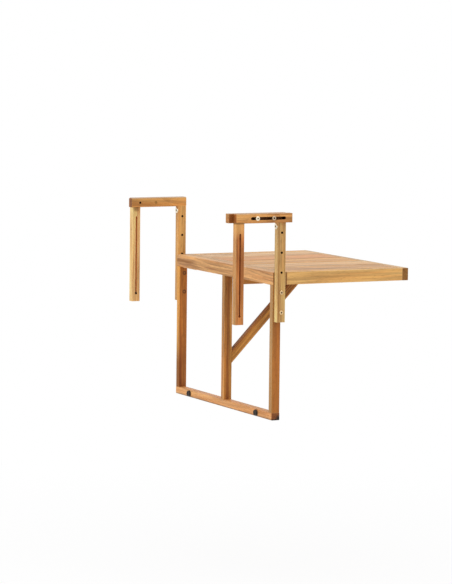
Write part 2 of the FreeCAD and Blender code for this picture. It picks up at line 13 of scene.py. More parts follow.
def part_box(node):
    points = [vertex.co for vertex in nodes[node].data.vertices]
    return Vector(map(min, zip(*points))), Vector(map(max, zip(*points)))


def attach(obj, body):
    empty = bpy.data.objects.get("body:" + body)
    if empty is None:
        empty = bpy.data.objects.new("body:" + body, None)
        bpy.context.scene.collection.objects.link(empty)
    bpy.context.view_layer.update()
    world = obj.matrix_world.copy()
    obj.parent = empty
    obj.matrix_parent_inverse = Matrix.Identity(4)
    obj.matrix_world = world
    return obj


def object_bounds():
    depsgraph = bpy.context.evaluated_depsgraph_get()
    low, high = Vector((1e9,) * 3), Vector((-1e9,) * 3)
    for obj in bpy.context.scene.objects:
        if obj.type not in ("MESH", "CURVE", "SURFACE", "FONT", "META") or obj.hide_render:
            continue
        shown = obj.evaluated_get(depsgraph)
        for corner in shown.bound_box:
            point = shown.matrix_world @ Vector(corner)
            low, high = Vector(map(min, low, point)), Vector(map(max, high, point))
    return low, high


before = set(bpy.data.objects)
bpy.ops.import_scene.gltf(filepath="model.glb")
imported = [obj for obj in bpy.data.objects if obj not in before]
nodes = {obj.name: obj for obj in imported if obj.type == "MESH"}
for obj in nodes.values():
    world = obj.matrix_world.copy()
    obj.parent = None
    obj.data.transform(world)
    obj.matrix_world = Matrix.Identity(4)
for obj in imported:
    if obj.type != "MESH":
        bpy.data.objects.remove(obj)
cad_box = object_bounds()
MM = 0.001
print("nodes:", len(nodes), "box:", [tuple(round(v, 4) for v in corner) for corner in cad_box])

# %% [markdown]
# A shader is a tree of nodes. It can be drawn by hand in the shader editor, or written down as here, where a
# few small helpers keep it readable. The first ones add a node and feed its sockets by name.

# %% Feeding sockets
def feed(tree, target, value):
    """Links a socket to another node's output, or sets it to a plain value."""
    if isinstance(value, bpy.types.NodeSocket):
        tree.links.new(value, target)
    else:
        target.default_value = value


def live_socket(sockets, name):
    """The socket of that name that is in use. A Mix node has more, for other kinds of data."""
    return next(s for s in sockets if s.name == name and s.enabled)


def feed_all(tree, node, **feeds):
    """Feeds a node's sockets by name."""
    for name, value in feeds.items():
        feed(tree, live_socket(node.inputs, name.replace("_", " ")), value)


def add_node(tree, kind, settings=None, **feeds):
    """A node with its settings, whose sockets are fed by name."""
    node = tree.nodes.new(kind)
    for name, value in (settings or {}).items():
        setattr(node, name, value)
    feed_all(tree, node, **feeds)
    return node


print("helpers:", feed.__name__, live_socket.__name__, feed_all.__name__, add_node.__name__)

# %% [markdown]
# The sockets of a Math node share one name, so the next helpers feed them in order. Each gives back the
# socket of its result, so that one step of arithmetic can stand inside another.

# %% Arithmetic in a tree
def one_step(tree, kind, operation, values):
    """The outputs of a node of arithmetic that is fed in order."""
    node = add_node(tree, kind, {"operation": operation})
    for target, value in zip(node.inputs, values):
        feed(tree, target, value)
    return node.outputs


def work_out(tree, operation, *values):
    """The result of one step of arithmetic on numbers."""
    return one_step(tree, "ShaderNodeMath", operation, values)[0]


def move_about(tree, operation, *values):
    """The result of one step of arithmetic on vectors."""
    outputs = one_step(tree, "ShaderNodeVectorMath", operation, values)
    return outputs["Value" if operation == "LENGTH" else "Vector"]


def split(tree, vector):
    """The X, Y and Z of a vector."""
    return add_node(tree, "ShaderNodeSeparateXYZ", Vector=vector).outputs


print("helpers:", work_out.__name__, move_about.__name__, split.__name__)

# %% [markdown]
# Finishes are mixed from colours, by masks that run from zero to one. Many masks come from soft noise. It
# lies mostly near the middle of its range, so a span there is spread out.

# %% Spans, mixtures and noise
NOISE_MIDDLE = (0.3, 0.7)


def ramp(tree, value, start, stop, low=0.0, high=1.0, shape="LINEAR"):
    """A value carried from one span to another and held at its ends."""
    return add_node(tree, "ShaderNodeMapRange", {"interpolation_type": shape}, Value=value, From_Min=start,
                    From_Max=stop, To_Min=low, To_Max=high).outputs[0]


def mixed(tree, factor, first, second, blend="MIX"):
    """A colour between two others."""
    node = add_node(tree, "ShaderNodeMix", {"data_type": "RGBA", "blend_type": blend}, Factor=factor)
    feed(tree, live_socket(node.inputs, "A"), first)
    feed(tree, live_socket(node.inputs, "B"), second)
    return live_socket(node.outputs, "Result")


def cloud(tree, place, seed, scale, detail=2.0, roughness=0.5):
    """Soft noise that is different for each seed."""
    return add_node(tree, "ShaderNodeTexNoise", {"noise_dimensions": "4D"}, Vector=place, W=seed, Scale=scale,
                    Detail=detail, Roughness=roughness).outputs


def spread_noise(tree, place, seed, scale, span=NOISE_MIDDLE, low=0.0, high=1.0, detail=2.0, roughness=0.5):
    """Soft noise whose middle span is spread from low to high."""
    return ramp(tree, cloud(tree, place, seed, scale, detail, roughness)["Fac"], *span, low, high)


print("helpers:", ramp.__name__, mixed.__name__, cloud.__name__, spread_noise.__name__)

# %% [markdown]
# Every finish starts as a material with one surface shader, and ends on a solid's only material slot. An
# effect that many materials share could be written into each of them. It is a node group instead: a small
# tree with named sockets, built once and placed wherever it is needed.

# %% Materials and node groups
FLOAT, COLOR, VECTOR = "NodeSocketFloat", "NodeSocketColor", "NodeSocketVector"


def new_material(name):
    """A material, its tree and its surface shader."""
    material = bpy.data.materials.new(name)
    material.use_nodes = True
    return material, material.node_tree, material.node_tree.nodes["Principled BSDF"]


def bumped(tree, height, strength, depth):
    """A normal that is bent by a height."""
    return add_node(tree, "ShaderNodeBump", Height=height, Strength=strength, Distance=depth).outputs[0]


def dress(node, material):
    """Gives a solid its finish."""
    nodes[node].data.materials.clear()
    nodes[node].data.materials.append(material)
    print(node, "wears", material.name, "with", len(material.node_tree.nodes), "nodes")


def new_group(name, inputs, outputs):
    """An empty shader group with named sockets."""
    tree = bpy.data.node_groups.new(name, "ShaderNodeTree")
    for way, sockets in (("INPUT", inputs), ("OUTPUT", outputs)):
        for label, kind in sockets.items():
            tree.interface.new_socket(label, in_out=way, socket_type=kind)
    print("group:", name, "gives", ", ".join(outputs))
    return tree, tree.nodes.new("NodeGroupInput").outputs, tree.nodes.new("NodeGroupOutput").inputs


def place_group(tree, group, **feeds):
    """The outputs of a group that is placed in a tree."""
    return add_node(tree, "ShaderNodeGroup", {"node_tree": group}, **feeds).outputs


print("kinds of group socket:", FLOAT, COLOR, VECTOR)

# %% [markdown]
# A board is cut from a log, so its growth rings are shells round the pith, the line down the log's middle.
# A picture of wood would wrap round the corners of a lath and repeat from piece to piece. Here the rings are
# worked out in space instead: the distance from a slightly leaning pith line gives long lines and arches on
# the faces and arcs on the ends, all of one piece. The piece's length lies on X.

# %% Growth rings
RING_WIDTH = 3.6 * MM
LATE_WOOD_POWER = 2.5
ACROSS_X = (0.0, 1.0, 1.0)
DRIFT_STRETCH = (0.4, 1.0, 1.0)
DRIFT_SCALE = 8.0
WANDER = (0.0, 0.012, 0.012)


def bend_fibres(tree, given):
    """A place in the board, leaning and wandering as its fibres do, and the noise that makes them wander."""
    along = split(tree, given["Place"])["X"]
    length = add_node(tree, "ShaderNodeCombineXYZ", X=along, Y=along, Z=along).outputs[0]
    leaning = move_about(tree, "MULTIPLY_ADD", given["Lean"], length, given["Place"])
    stretched = move_about(tree, "MULTIPLY", given["Place"], DRIFT_STRETCH)
    drift = cloud(tree, stretched, given["Seed"], DRIFT_SCALE)
    return move_about(tree, "MULTIPLY_ADD", drift["Color"], WANDER, leaning), drift["Fac"]


def late_wood(tree, bent, pith):
    """The dark outer part of each growth ring."""
    from_pith = move_about(tree, "MULTIPLY", move_about(tree, "ADD", bent, pith), ACROSS_X)
    years = work_out(tree, "DIVIDE", move_about(tree, "LENGTH", from_pith), RING_WIDTH)
    return work_out(tree, "POWER", work_out(tree, "FRACT", years), LATE_WOOD_POWER)


print("growth rings:", RING_WIDTH / MM, "mm wide")

# %% [markdown]
# Slow bands of colour, thin streaks, hair lines and short dark pores follow the fibres. A wave texture would
# make them all alike, so they are noise that is drawn out along X, each at its own scale.

# %% Bands, streaks and pores
SLOW_FIBRE = (0.07, 1.0, 1.0)
FINE_FIBRE = (0.03, 1.0, 1.0)
BAND_SCALE, BAND_SPAN = 60.0, (0.36, 0.64)
STREAK_SCALE, STREAK_SPAN = 150.0, (0.4, 0.6)
HAIR_SCALE, HAIR_SPAN = 620.0, (0.4, 0.65)
PORE_SCALE, PORE_SPAN = 900.0, (0.58, 0.7)
WARMTH_SCALE, WARMTH_SPAN = 90.0, (0.42, 0.64)
WARMTH_SEED_STEP = 40.0


def fibre_marks(tree, bent, seed):
    """Masks of what follows the fibres."""
    slow = move_about(tree, "MULTIPLY", bent, SLOW_FIBRE)
    thin = move_about(tree, "MULTIPLY", bent, FINE_FIBRE)
    other_seed = work_out(tree, "ADD", seed, WARMTH_SEED_STEP)
    return {
        "bands": spread_noise(tree, slow, seed, BAND_SCALE, BAND_SPAN, detail=3.0),
        "streaks": spread_noise(tree, thin, seed, STREAK_SCALE, STREAK_SPAN, detail=4.0, roughness=0.6),
        "hair": spread_noise(tree, thin, seed, HAIR_SCALE, HAIR_SPAN),
        "pores": spread_noise(tree, slow, seed, PORE_SCALE, PORE_SPAN),
        "warmth": spread_noise(tree, thin, other_seed, WARMTH_SCALE, WARMTH_SPAN),
    }


print("bands are about", round(1 / BAND_SCALE / MM), "mm apart, pores", round(1 / PORE_SCALE / MM, 1), "mm")

# %% [markdown]
# Rings, hair lines, streaks and bands together lay the board between a light and a dark colour. Some streaks
# are a little redder, the pores are brown and lie deeper, and the whole board has slow shades. A seed makes
# each piece a board of its own.

# %% Solid wood
RING_SHARE, HAIR_SHARE, STREAK_SHARE, BAND_SHARE, PORE_SHARE = 0.2, 0.12, 0.4, 0.4, 0.45
PORE_DEPTH = -0.8
SLOW_SHADES = (0.9, 1.08)
PORE_BROWN = (0.07, 0.025, 0.008, 1.0)
REDDISH = (1.04, 0.90, 0.78, 1.0)
PALEST = (0.86, 0.76, 0.62)


def build_solid_wood():
    """The group that gives a board's colour, the height of its grain and its pores."""
    tree, given, result = new_group(
        "solid_wood",
        {"Place": VECTOR, "Seed": FLOAT, "Pith": VECTOR, "Lean": VECTOR, "Light": COLOR, "Dark": COLOR},
        {"Color": COLOR, "Height": FLOAT, "Pores": FLOAT})
    bent, drift = bend_fibres(tree, given)
    fibre = fibre_marks(tree, bent, given["Seed"])
    rings = late_wood(tree, bent, given["Pith"])
    hair = work_out(tree, "MULTIPLY", fibre["hair"], HAIR_SHARE)
    lines = work_out(tree, "MULTIPLY_ADD", rings, RING_SHARE, hair)
    striped = work_out(tree, "MULTIPLY_ADD", fibre["streaks"], STREAK_SHARE, lines)
    tone = work_out(tree, "MULTIPLY_ADD", fibre["bands"], BAND_SHARE, striped)
    planed = mixed(tree, tone, given["Light"], given["Dark"])
    tinted = mixed(tree, fibre["warmth"], planed, mixed(tree, 1.0, planed, REDDISH, "MULTIPLY"))
    pored = mixed(tree, work_out(tree, "MULTIPLY", fibre["pores"], PORE_SHARE), tinted, PORE_BROWN)
    shade = ramp(tree, drift, *NOISE_MIDDLE, *SLOW_SHADES)
    grey = add_node(tree, "ShaderNodeCombineColor", Red=shade, Green=shade, Blue=shade).outputs[0]
    shaded = mixed(tree, 1.0, pored, grey, "MULTIPLY")
    tree.links.new(move_about(tree, "MINIMUM", shaded, PALEST), result["Color"])
    tree.links.new(work_out(tree, "MULTIPLY_ADD", fibre["pores"], PORE_DEPTH, lines), result["Height"])
    tree.links.new(fibre["pores"], result["Pores"])
    return tree


solid_wood = build_solid_wood()

# %% [markdown]
# Oil soaks deep into the open pores of a sawn end, so an end is darker and browner than a face, with fine
# specks. The ends have no material slot of their own, so a mask says where they are. Each board has its own
# tint there, so that is an input.

# %% Soaked ends
SPECK_SCALE, SPECK_SPAN, SPECK_SHARE = 1100.0, (0.45, 0.7), 0.6


def build_soaked_ends():
    """The group that lays a tint and specks on the ends."""
    tree, given, result = new_group(
        "soaked_ends",
        {"Color": COLOR, "Tint": COLOR, "Place": VECTOR, "Seed": FLOAT, "Mask": FLOAT}, {"Color": COLOR})
    soaked = mixed(tree, 1.0, given["Color"], given["Tint"], "MULTIPLY")
    specks = spread_noise(tree, given["Place"], given["Seed"], SPECK_SCALE, SPECK_SPAN, high=SPECK_SHARE)
    speckled = mixed(tree, specks, soaked, PORE_BROWN)
    tree.links.new(mixed(tree, given["Mask"], given["Color"], speckled), result["Color"])
    return tree


soaked_ends = build_soaked_ends()

# %% [markdown]
# The faces that look up get a silvery tan in patches: partly weathering, partly painted sheen of the light
# that grazes the tops. It could be painted on by hand, but the way a face looks and some noise find the
# places on every piece alike.

# %% Silvered tops and painted sheen
SILVER_TAN = (0.36, 0.26, 0.165, 1.0)
SILVER_SCALE, SILVER_LEAST = 22.0, 0.6
UPWARD_SPAN = (0.4, 0.9)


def build_silver_and_sheen_tops():
    """The group that lays a silvery tan, partly weathering and partly painted sheen, on the tops."""
    tree, given, result = new_group(
        "silver_and_sheen_tops",
        {"Color": COLOR, "Upward": FLOAT, "Place": VECTOR, "Seed": FLOAT, "Amount": FLOAT}, {"Color": COLOR})
    patches = spread_noise(tree, given["Place"], given["Seed"], SILVER_SCALE, low=SILVER_LEAST, detail=3.0)
    up = ramp(tree, given["Upward"], *UPWARD_SPAN)
    share = work_out(tree, "MULTIPLY", work_out(tree, "MULTIPLY", up, patches), given["Amount"])
    tree.links.new(mixed(tree, share, given["Color"], SILVER_TAN), result["Color"])
    return tree


silver_and_sheen_tops = build_silver_and_sheen_tops()

# %% [markdown]
# The eased edges of a wooden lath get a painted highlight, a little lighter than its faces. Blender's own
# Pointiness finds edges only on a dense mesh. On a straight piece an edge is where two of the three distances
# to the faces are small, so the middle one of the three finds it.

# %% Painted highlight on the edges
EDGE_REACH = 2.2 * MM
HIGHLIGHT_PATCH_SCALE, HIGHLIGHT_PATCH_LEAST = 14.0, 0.3


def build_edge_highlights():
    """The group that gives a mask of painted highlight on a piece's edges, in patches."""
    tree, given, result = new_group(
        "edge_highlights", {"Place": VECTOR, "Half": VECTOR, "Seed": FLOAT}, {"Mask": FLOAT})
    inside = move_about(tree, "SUBTRACT", given["Half"], move_about(tree, "ABSOLUTE", given["Place"]))
    depth = split(tree, inside)
    low = work_out(tree, "MINIMUM", depth["X"], depth["Y"])
    high = work_out(tree, "MAXIMUM", depth["X"], depth["Y"])
    middle = work_out(tree, "MAXIMUM", low, work_out(tree, "MINIMUM", high, depth["Z"]))
    near = ramp(tree, middle, 0.0, EDGE_REACH, 1.0, 0.0, "SMOOTHSTEP")
    highlight_patches = spread_noise(tree, given["Place"], given["Seed"], HIGHLIGHT_PATCH_SCALE, low=HIGHLIGHT_PATCH_LEAST, detail=3.0)
    tree.links.new(work_out(tree, "MULTIPLY", near, highlight_patches), result["Mask"])
    return tree


edge_highlights = build_edge_highlights()

# %% [markdown]
# Most holes and slots are painted nearly black inside, as painted shade deep in the cuts. These walls have no
# material slot of their own either, so the distance from the middle of the cut finds them. One group rounds a
# place to whole steps of a row and measures from the hole there. The bolts use it too, to find their axes.
# Another measures from the line or block between two corners. Keep weighs the three axes.

# %% Distances from holes and slots
ONE_EACH, HALF_EACH, NONE_EACH = (1.0, 1.0, 1.0), (0.5, 0.5, 0.5), (0.0, 0.0, 0.0)


def build_hole_row():
    """The group that gives the distance from the nearest axis of a row."""
    tree, given, result = new_group(
        "hole_row", {"Place": VECTOR, "First": VECTOR, "Pitch": VECTOR, "Steps": VECTOR, "Keep": VECTOR},
        {"Distance": FLOAT})
    away = move_about(tree, "SUBTRACT", given["Place"], given["First"])
    per_step = move_about(tree, "DIVIDE", ONE_EACH, given["Pitch"])
    rounded = move_about(tree, "FLOOR", move_about(tree, "MULTIPLY_ADD", away, per_step, HALF_EACH))
    whole = move_about(tree, "MINIMUM", move_about(tree, "MAXIMUM", rounded, NONE_EACH), given["Steps"])
    offset = move_about(tree, "SUBTRACT", away, move_about(tree, "MULTIPLY", whole, given["Pitch"]))
    kept = move_about(tree, "MULTIPLY", offset, given["Keep"])
    tree.links.new(move_about(tree, "LENGTH", kept), result["Distance"])
    return tree


def build_slot_line():
    """The group that gives the distance from a line or block."""
    tree, given, result = new_group(
        "slot_line", {"Place": VECTOR, "Low": VECTOR, "High": VECTOR, "Keep": VECTOR}, {"Distance": FLOAT})
    raised = move_about(tree, "MAXIMUM", given["Place"], given["Low"])
    nearest = move_about(tree, "MINIMUM", raised, given["High"])
    kept = move_about(tree, "MULTIPLY", move_about(tree, "SUBTRACT", given["Place"], nearest), given["Keep"])
    tree.links.new(move_about(tree, "LENGTH", kept), result["Distance"])
    return tree


hole_row = build_hole_row()
slot_line = build_slot_line()

# %% [markdown]
# A mask maker is a function that keeps a cut's place and size and makes its mask in any tree. So each cut is
# written down once, and every piece that has it can use it.

# %% Masks of holes and slots
WALL = 0.15


def row(tree, place, first, pitch, count, keep=ACROSS_X):
    """The distance from the nearest axis of a row. The row runs along the one axis with a pitch."""
    steps = tuple(count - 1 if step else 0 for step in pitch)
    spread = tuple(step * MM if step else 1.0 for step in pitch)
    start = tuple(v * MM for v in first)
    return place_group(tree, hole_row, Place=place, First=start, Pitch=spread, Steps=steps,
                       Keep=keep)["Distance"]


def slot(tree, place, low, high, keep=ACROSS_X):
    """The distance from the line or block between two corners."""
    ends = [tuple(v * MM for v in end) for end in (low, high)]
    return place_group(tree, slot_line, Place=place, Low=ends[0], High=ends[1], Keep=keep)["Distance"]


def walls(measure, cut, radius, rim=WALL, depth=1.0):
    """A mask maker for the walls of a row or a slot, or for a ring of painted shade round them."""
    def mask(tree, place):
        return ramp(tree, measure(tree, place, *cut), radius * MM, (radius + rim) * MM, depth, 0.0)
    return mask


print("walls reach", WALL, "mm into the wood")

# %% [markdown]
# Where the holes and slots are, in millimetres: height holes in each upright, cross holes in each fixed arm,
# the slot of each slotted arm and the keyhole in each leg. A row is its first hole, its pitch and its count.
# The inserts in the posts have rims of painted shade, and a line of painted shade lies where a leg meets its
# arm.

# %% Places of the cuts
LOWEST_HOLE, HOLE_PITCH = (0, 15, -242.5), (0, 0, 53.5)
HEIGHT_HOLES = (LOWEST_HOLE, HOLE_PITCH, 5)
BOLTED_HOLES = (LOWEST_HOLE, HOLE_PITCH, 2)
CROSS_HOLES = ((0, -117, 12.5), (0, 48.5, 0), 3)
HOLE_RADIUS = 3.25
INSERT_RADIUS, RIM_WIDTH, RIM_DEPTH = 4.5, 2.6, 0.75
ARM_SLOT, ARM_SLOT_HALF = ((0, -84, 12.5), (0, 11.5, 12.5)), 4.0
KEYHOLE_SLOT, KEYHOLE_HALF = ((0, -119, -246), (0, -119, -29.5)), 2.5
KEYHOLE_END, KEYHOLE_RADIUS = ((0, -119, -246), (0, 0, 0), 1), 3.5
JOINT_LINE, JOINT_DEPTH = 3.6, 0.7
upright_holes = walls(row, HEIGHT_HOLES, HOLE_RADIUS)
cross_holes = walls(row, CROSS_HOLES, HOLE_RADIUS)
insert_rims = walls(row, BOLTED_HOLES, INSERT_RADIUS, RIM_WIDTH, RIM_DEPTH)
arm_slot = walls(slot, ARM_SLOT, ARM_SLOT_HALF)
leg_slot = walls(slot, KEYHOLE_SLOT, KEYHOLE_HALF)
leg_hole = walls(row, KEYHOLE_END, KEYHOLE_RADIUS)


def leg_joint_shade(tree, place):
    """Painted shade in a line where a leg meets its arm."""
    return ramp(tree, split(tree, place)["Z"], -JOINT_LINE * MM, 0.0, 0.0, JOINT_DEPTH)


print("highest height hole at Z", LOWEST_HOLE[2] + HOLE_PITCH[2] * (HEIGHT_HOLES[2] - 1), "mm")

# %% [markdown]
# Some boards have a dark streak of heartwood in them, or a pale stretch of sapwood, and on a few pieces a
# dark streak is painted shade. Noise alone would put it anywhere, so it has a place: a block given by two
# corners, in millimetres. It waves a little and fades at its borders. Axes along which it goes right through
# the piece don't count.

# %% Streaks
WAVE_SCALE = 30.0
FULL_WAVE = (3.5 * MM, 3.5 * MM, 3.5 * MM)
HALF_WAVE = (-1.75 * MM, -1.75 * MM, -1.75 * MM)


def streak(low, high, fade, depth, keep=ACROSS_X, turn=None):
    """A mask maker for one streak, in a turned piece where a turn is given."""
    def mask(tree, place):
        if turn:
            place = add_node(tree, "ShaderNodeMapping", Vector=place, Rotation=turn).outputs[0]
        noise = cloud(tree, place, sum(low), WAVE_SCALE)["Color"]
        lowered = move_about(tree, "ADD", place, HALF_WAVE)
        waved = move_about(tree, "MULTIPLY_ADD", noise, FULL_WAVE, lowered)
        return ramp(tree, slot(tree, waved, low, high, keep), 0.0, fade * MM, depth, 0.0, "SMOOTHSTEP")
    return mask


print("streaks wave by", FULL_WAVE[0] / MM, "mm")

# %% [markdown]
# The lower edges of the bottom rail are painted nearly black, as painted shade under the rail, and its ends
# are darkest at the lower corner away from the railing. The height finds the edges, and the distance from a
# line along that corner finds the rest.

# %% Painted shade on the lower edges
UNDERSIDE_SHADE_BLACK = (0.020, 0.012, 0.008, 1.0)
UNDERSIDE_SHADE_SEED, UNDERSIDE_SHADE_SCALE, UNDERSIDE_SHADE_SPAN = 5.0, 60.0, (0.3, 0.6)
UNDERSIDE_SHADE_LEAST, UNDERSIDE_SHADE_MOST = 0.2, 0.7
RAIL_UNDERSIDE_Z = -535.5
UNDERSIDE_SHADE_CORE, UNDERSIDE_SHADE_REACH = (RAIL_UNDERSIDE_Z + 1.4) * MM, (RAIL_UNDERSIDE_Z + 4.8) * MM
DARK_CORNER = ((0, 24, -533), (0, 0, 0), 1)
CORNER_CORE, CORNER_REACH = 5.0 * MM, 15.0 * MM


def lower_edge_shade(tree, place, ends):
    """Painted shade along the bottom rail's lower edges, darkest at one lower corner of its ends."""
    near_underside = ramp(tree, split(tree, place)["Z"], UNDERSIDE_SHADE_CORE, UNDERSIDE_SHADE_REACH, 1.0, 0.0, "SMOOTHSTEP")
    spots = spread_noise(tree, place, UNDERSIDE_SHADE_SEED, UNDERSIDE_SHADE_SCALE, UNDERSIDE_SHADE_SPAN, UNDERSIDE_SHADE_LEAST, UNDERSIDE_SHADE_MOST, detail=3.0)
    lower_edge = work_out(tree, "MULTIPLY", near_underside, work_out(tree, "MAXIMUM", ends, spots))
    corner = ramp(tree, row(tree, place, *DARK_CORNER), CORNER_CORE, CORNER_REACH, 1.0, 0.0, "SMOOTHSTEP")
    return work_out(tree, "MAXIMUM", lower_edge, work_out(tree, "MULTIPLY", corner, ends))


print("damp up to Z", round(UNDERSIDE_SHADE_REACH / MM, 1), "mm")

# %% [markdown]
# One material for all the wood would make it look like one board. So each wooden piece has its own place in a
# log, from a seed, with its length turned onto X and its middle moved to zero.

# %% Board of one piece
STRUT_SLOPE = math.radians(46)
GRAIN_TURN = {
    "X": Euler((0, 0, 0)),
    "Y": Euler((0, 0, math.radians(-90))),
    "Z": Euler((0, math.radians(90), 0)),
    "strut": Euler((-STRUT_SLOPE, 0, math.radians(-90))),
}
PITH_Y, PITH_Y_SWAY, PITH_Y_RATE = 70, 25, 1.7
PITH_Z, PITH_Z_SWAY, PITH_Z_RATE = -60, 40, 2.3
LEAN_SWAY, LEAN_Y_RATE, LEAN_Z_RATE = 0.035, 3.1, 1.3
END_SPAN = (0.5, 0.7)


def turned_box(piece, along):
    """The lowest and highest corners of a piece whose length is turned onto X."""
    turn = GRAIN_TURN[along].to_matrix()
    corners = [turn @ v.co for v in piece.data.vertices]
    low = Vector([min(c[i] for c in corners) for i in range(3)])
    high = Vector([max(c[i] for c in corners) for i in range(3)])
    return low, high


def place_in_log(seed):
    """The pith beside a board, and how it leans along the board."""
    pith_y = PITH_Y + PITH_Y_SWAY * math.sin(PITH_Y_RATE * seed)
    pith_z = PITH_Z + PITH_Z_SWAY * math.cos(PITH_Z_RATE * seed)
    lean_y = LEAN_SWAY * math.sin(LEAN_Y_RATE * seed)
    lean_z = LEAN_SWAY * math.cos(LEAN_Z_RATE * seed)
    return (0.0, pith_y * MM, pith_z * MM), (0.0, lean_y, lean_z)


def lie_of_board(tree, coords, turn, middle):
    """A place in the board from its middle, with its length on X, and a mask of its ends."""
    place = add_node(tree, "ShaderNodeMapping", Vector=coords["Object"], Location=-middle, Rotation=turn)
    facing = add_node(tree, "ShaderNodeMapping", {"vector_type": "NORMAL"}, Vector=coords["Normal"],
                      Rotation=turn)
    end_on = work_out(tree, "ABSOLUTE", split(tree, facing.outputs[0])["X"])
    return place.outputs[0], ramp(tree, end_on, *END_SPAN)


strut_low, strut_high = turned_box(nodes["strut"], "strut")
print("strut along its length, in mm:", [round(v / MM, 1) for v in strut_high - strut_low])

# %% [markdown]
# A piece's middle colour is written as a paint program shows it, and its light and dark bands lie either side
# of it. They could be picked one by one. Worked out from one colour, they stay in step when it changes.

# %% Colours of wood
PAINT_WHITE, PAINT_GAMMA = 255, 2.2
LIGHT_BAND = (1.42, 1.48, 1.42)
DARK_BAND = (0.56, 0.50, 0.44)


def linear(red, green, blue):
    """A colour as a paint program shows it, made linear and opaque."""
    return tuple((v / PAINT_WHITE) ** PAINT_GAMMA for v in (red, green, blue)) + (1.0,)


def tuned(colour, factors, contrast):
    """A band of the colour, further from it where the contrast is high."""
    return tuple(c * f ** contrast for c, f in zip(colour, factors)) + (1.0,)


print("a colour of 128 is", round(linear(128, 128, 128)[0], 3), "when linear")

# %% [markdown]
# The groups are now placed one after another. The face's own normal tells ends from faces and tops from
# sides. The sides that face along X can have a tint of their own, darker and redder; on some pieces it is
# painted shade. Marks are the piece's own streaks, cut walls and rims, some of them painted shade, each a
# mask maker with the colour that it lays on.

# %% A wooden finish for one piece
SOAKED = (0.62, 0.52, 0.40)
NO_TINT = (1.0, 1.0, 1.0)
OILED_SHINE = 0.25
SIDE_SPAN = (0.4, 0.9)
EDGE_SHARE = 0.2
OILED_ROUGH, PORE_ROUGH, MARK_ROUGH = 0.46, 0.64, 0.95
GRAIN_RELIEF, GRAIN_DEPTH = 0.35, 0.2 * MM


def lay_marks(tree, place, made, rough, marks):
    """Colour and roughness with a piece's own marks laid on."""
    for mark, stain in marks:
        mask = mark(tree, place)
        made = mixed(tree, mask, made, stain)
        rough = work_out(tree, "MAXIMUM", rough, work_out(tree, "MULTIPLY", mask, MARK_ROUGH))
    return made, rough


def wood_finish(node, along, colour, seed, silver=0.0, contrast=1.0, side_tint=NO_TINT, end_tint=SOAKED,
                marks=(), underside_shade=False):
    """The wood of one piece, with its length along an axis."""
    low, high = turned_box(nodes[node], along)
    pith, lean = place_in_log(seed)
    light = tuned(linear(*colour), LIGHT_BAND, contrast)
    dark = tuned(linear(*colour), DARK_BAND, contrast)
    material, tree, surface = new_material(node + "_wood")
    coords = tree.nodes.new("ShaderNodeTexCoord").outputs
    place, ends = lie_of_board(tree, coords, GRAIN_TURN[along], (low + high) / 2)
    looks = split(tree, coords["Normal"])
    grain = place_group(tree, solid_wood, Place=place, Seed=seed, Pith=pith, Lean=lean, Light=light,
                        Dark=dark)
    made = grain["Color"]
    # A tint on the sides that face along X; on the centre post and the right fixed arm it is painted shade.
    if side_tint != NO_TINT:
        sideways = ramp(tree, work_out(tree, "ABSOLUTE", looks["X"]), *SIDE_SPAN)
        made = mixed(tree, sideways, made, mixed(tree, 1.0, made, side_tint + (1.0,), "MULTIPLY"))
    # A silvery tan on the tops: partly weathering, partly painted sheen.
    if silver:
        made = place_group(tree, silver_and_sheen_tops, Color=made, Upward=looks["Z"], Place=place, Seed=seed,
                           Amount=silver)["Color"]
    made = place_group(tree, soaked_ends, Color=made, Tint=end_tint + (1.0,), Place=place, Seed=seed,
                       Mask=ends)["Color"]
    # Painted highlight on the edges, in the light band's colour.
    edges = place_group(tree, edge_highlights, Place=place, Half=(high - low) / 2, Seed=seed)["Mask"]
    made = mixed(tree, work_out(tree, "MULTIPLY", edges, EDGE_SHARE), made, light)
    # Painted shade along the bottom rail's lower edges.
    if underside_shade:
        made = mixed(tree, lower_edge_shade(tree, coords["Object"], ends), made, UNDERSIDE_SHADE_BLACK)
    rough = ramp(tree, grain["Pores"], 0.0, 1.0, OILED_ROUGH, PORE_ROUGH)
    made, rough = lay_marks(tree, coords["Object"], made, rough, marks)
    bump = bumped(tree, grain["Height"], GRAIN_RELIEF, GRAIN_DEPTH)
    feed_all(tree, surface, Base_Color=made, Roughness=rough, Specular_IOR_Level=OILED_SHINE, Normal=bump)
    dress(node, material)


print("roughness of oiled wood:", OILED_ROUGH, "and in its pores:", PORE_ROUGH)

# %% [markdown]
# The pieces come from different boards: posts and rails are orange brown, uprights yellower, slats a pale
# pinkish tan. One colour for all would be quicker, but the mixture is what makes it look like real wood.
# First comes the back frame. Its posts have darker sides, which on the centre post are painted shade under
# the leaf, and a few boards have heartwood in them.

# %% Wood of the back frame
# Nearly black painted shade inside holes and slots.
BORE_SHADE = (0.05, 0.016, 0.006, 1.0)
# Painted shade round the inserts in the posts.
INSERT_RIM_SHADE = (0.10, 0.035, 0.010, 1.0)
# Dark streak colours, for heartwood and for painted shade.
HEARTWOOD_AND_SHADE_BROWN = linear(120, 70, 32)
HEARTWOOD_AND_SHADE_RED = linear(118, 60, 24)
LEFT_POST_SIDES = (0.72, 0.52, 0.46)
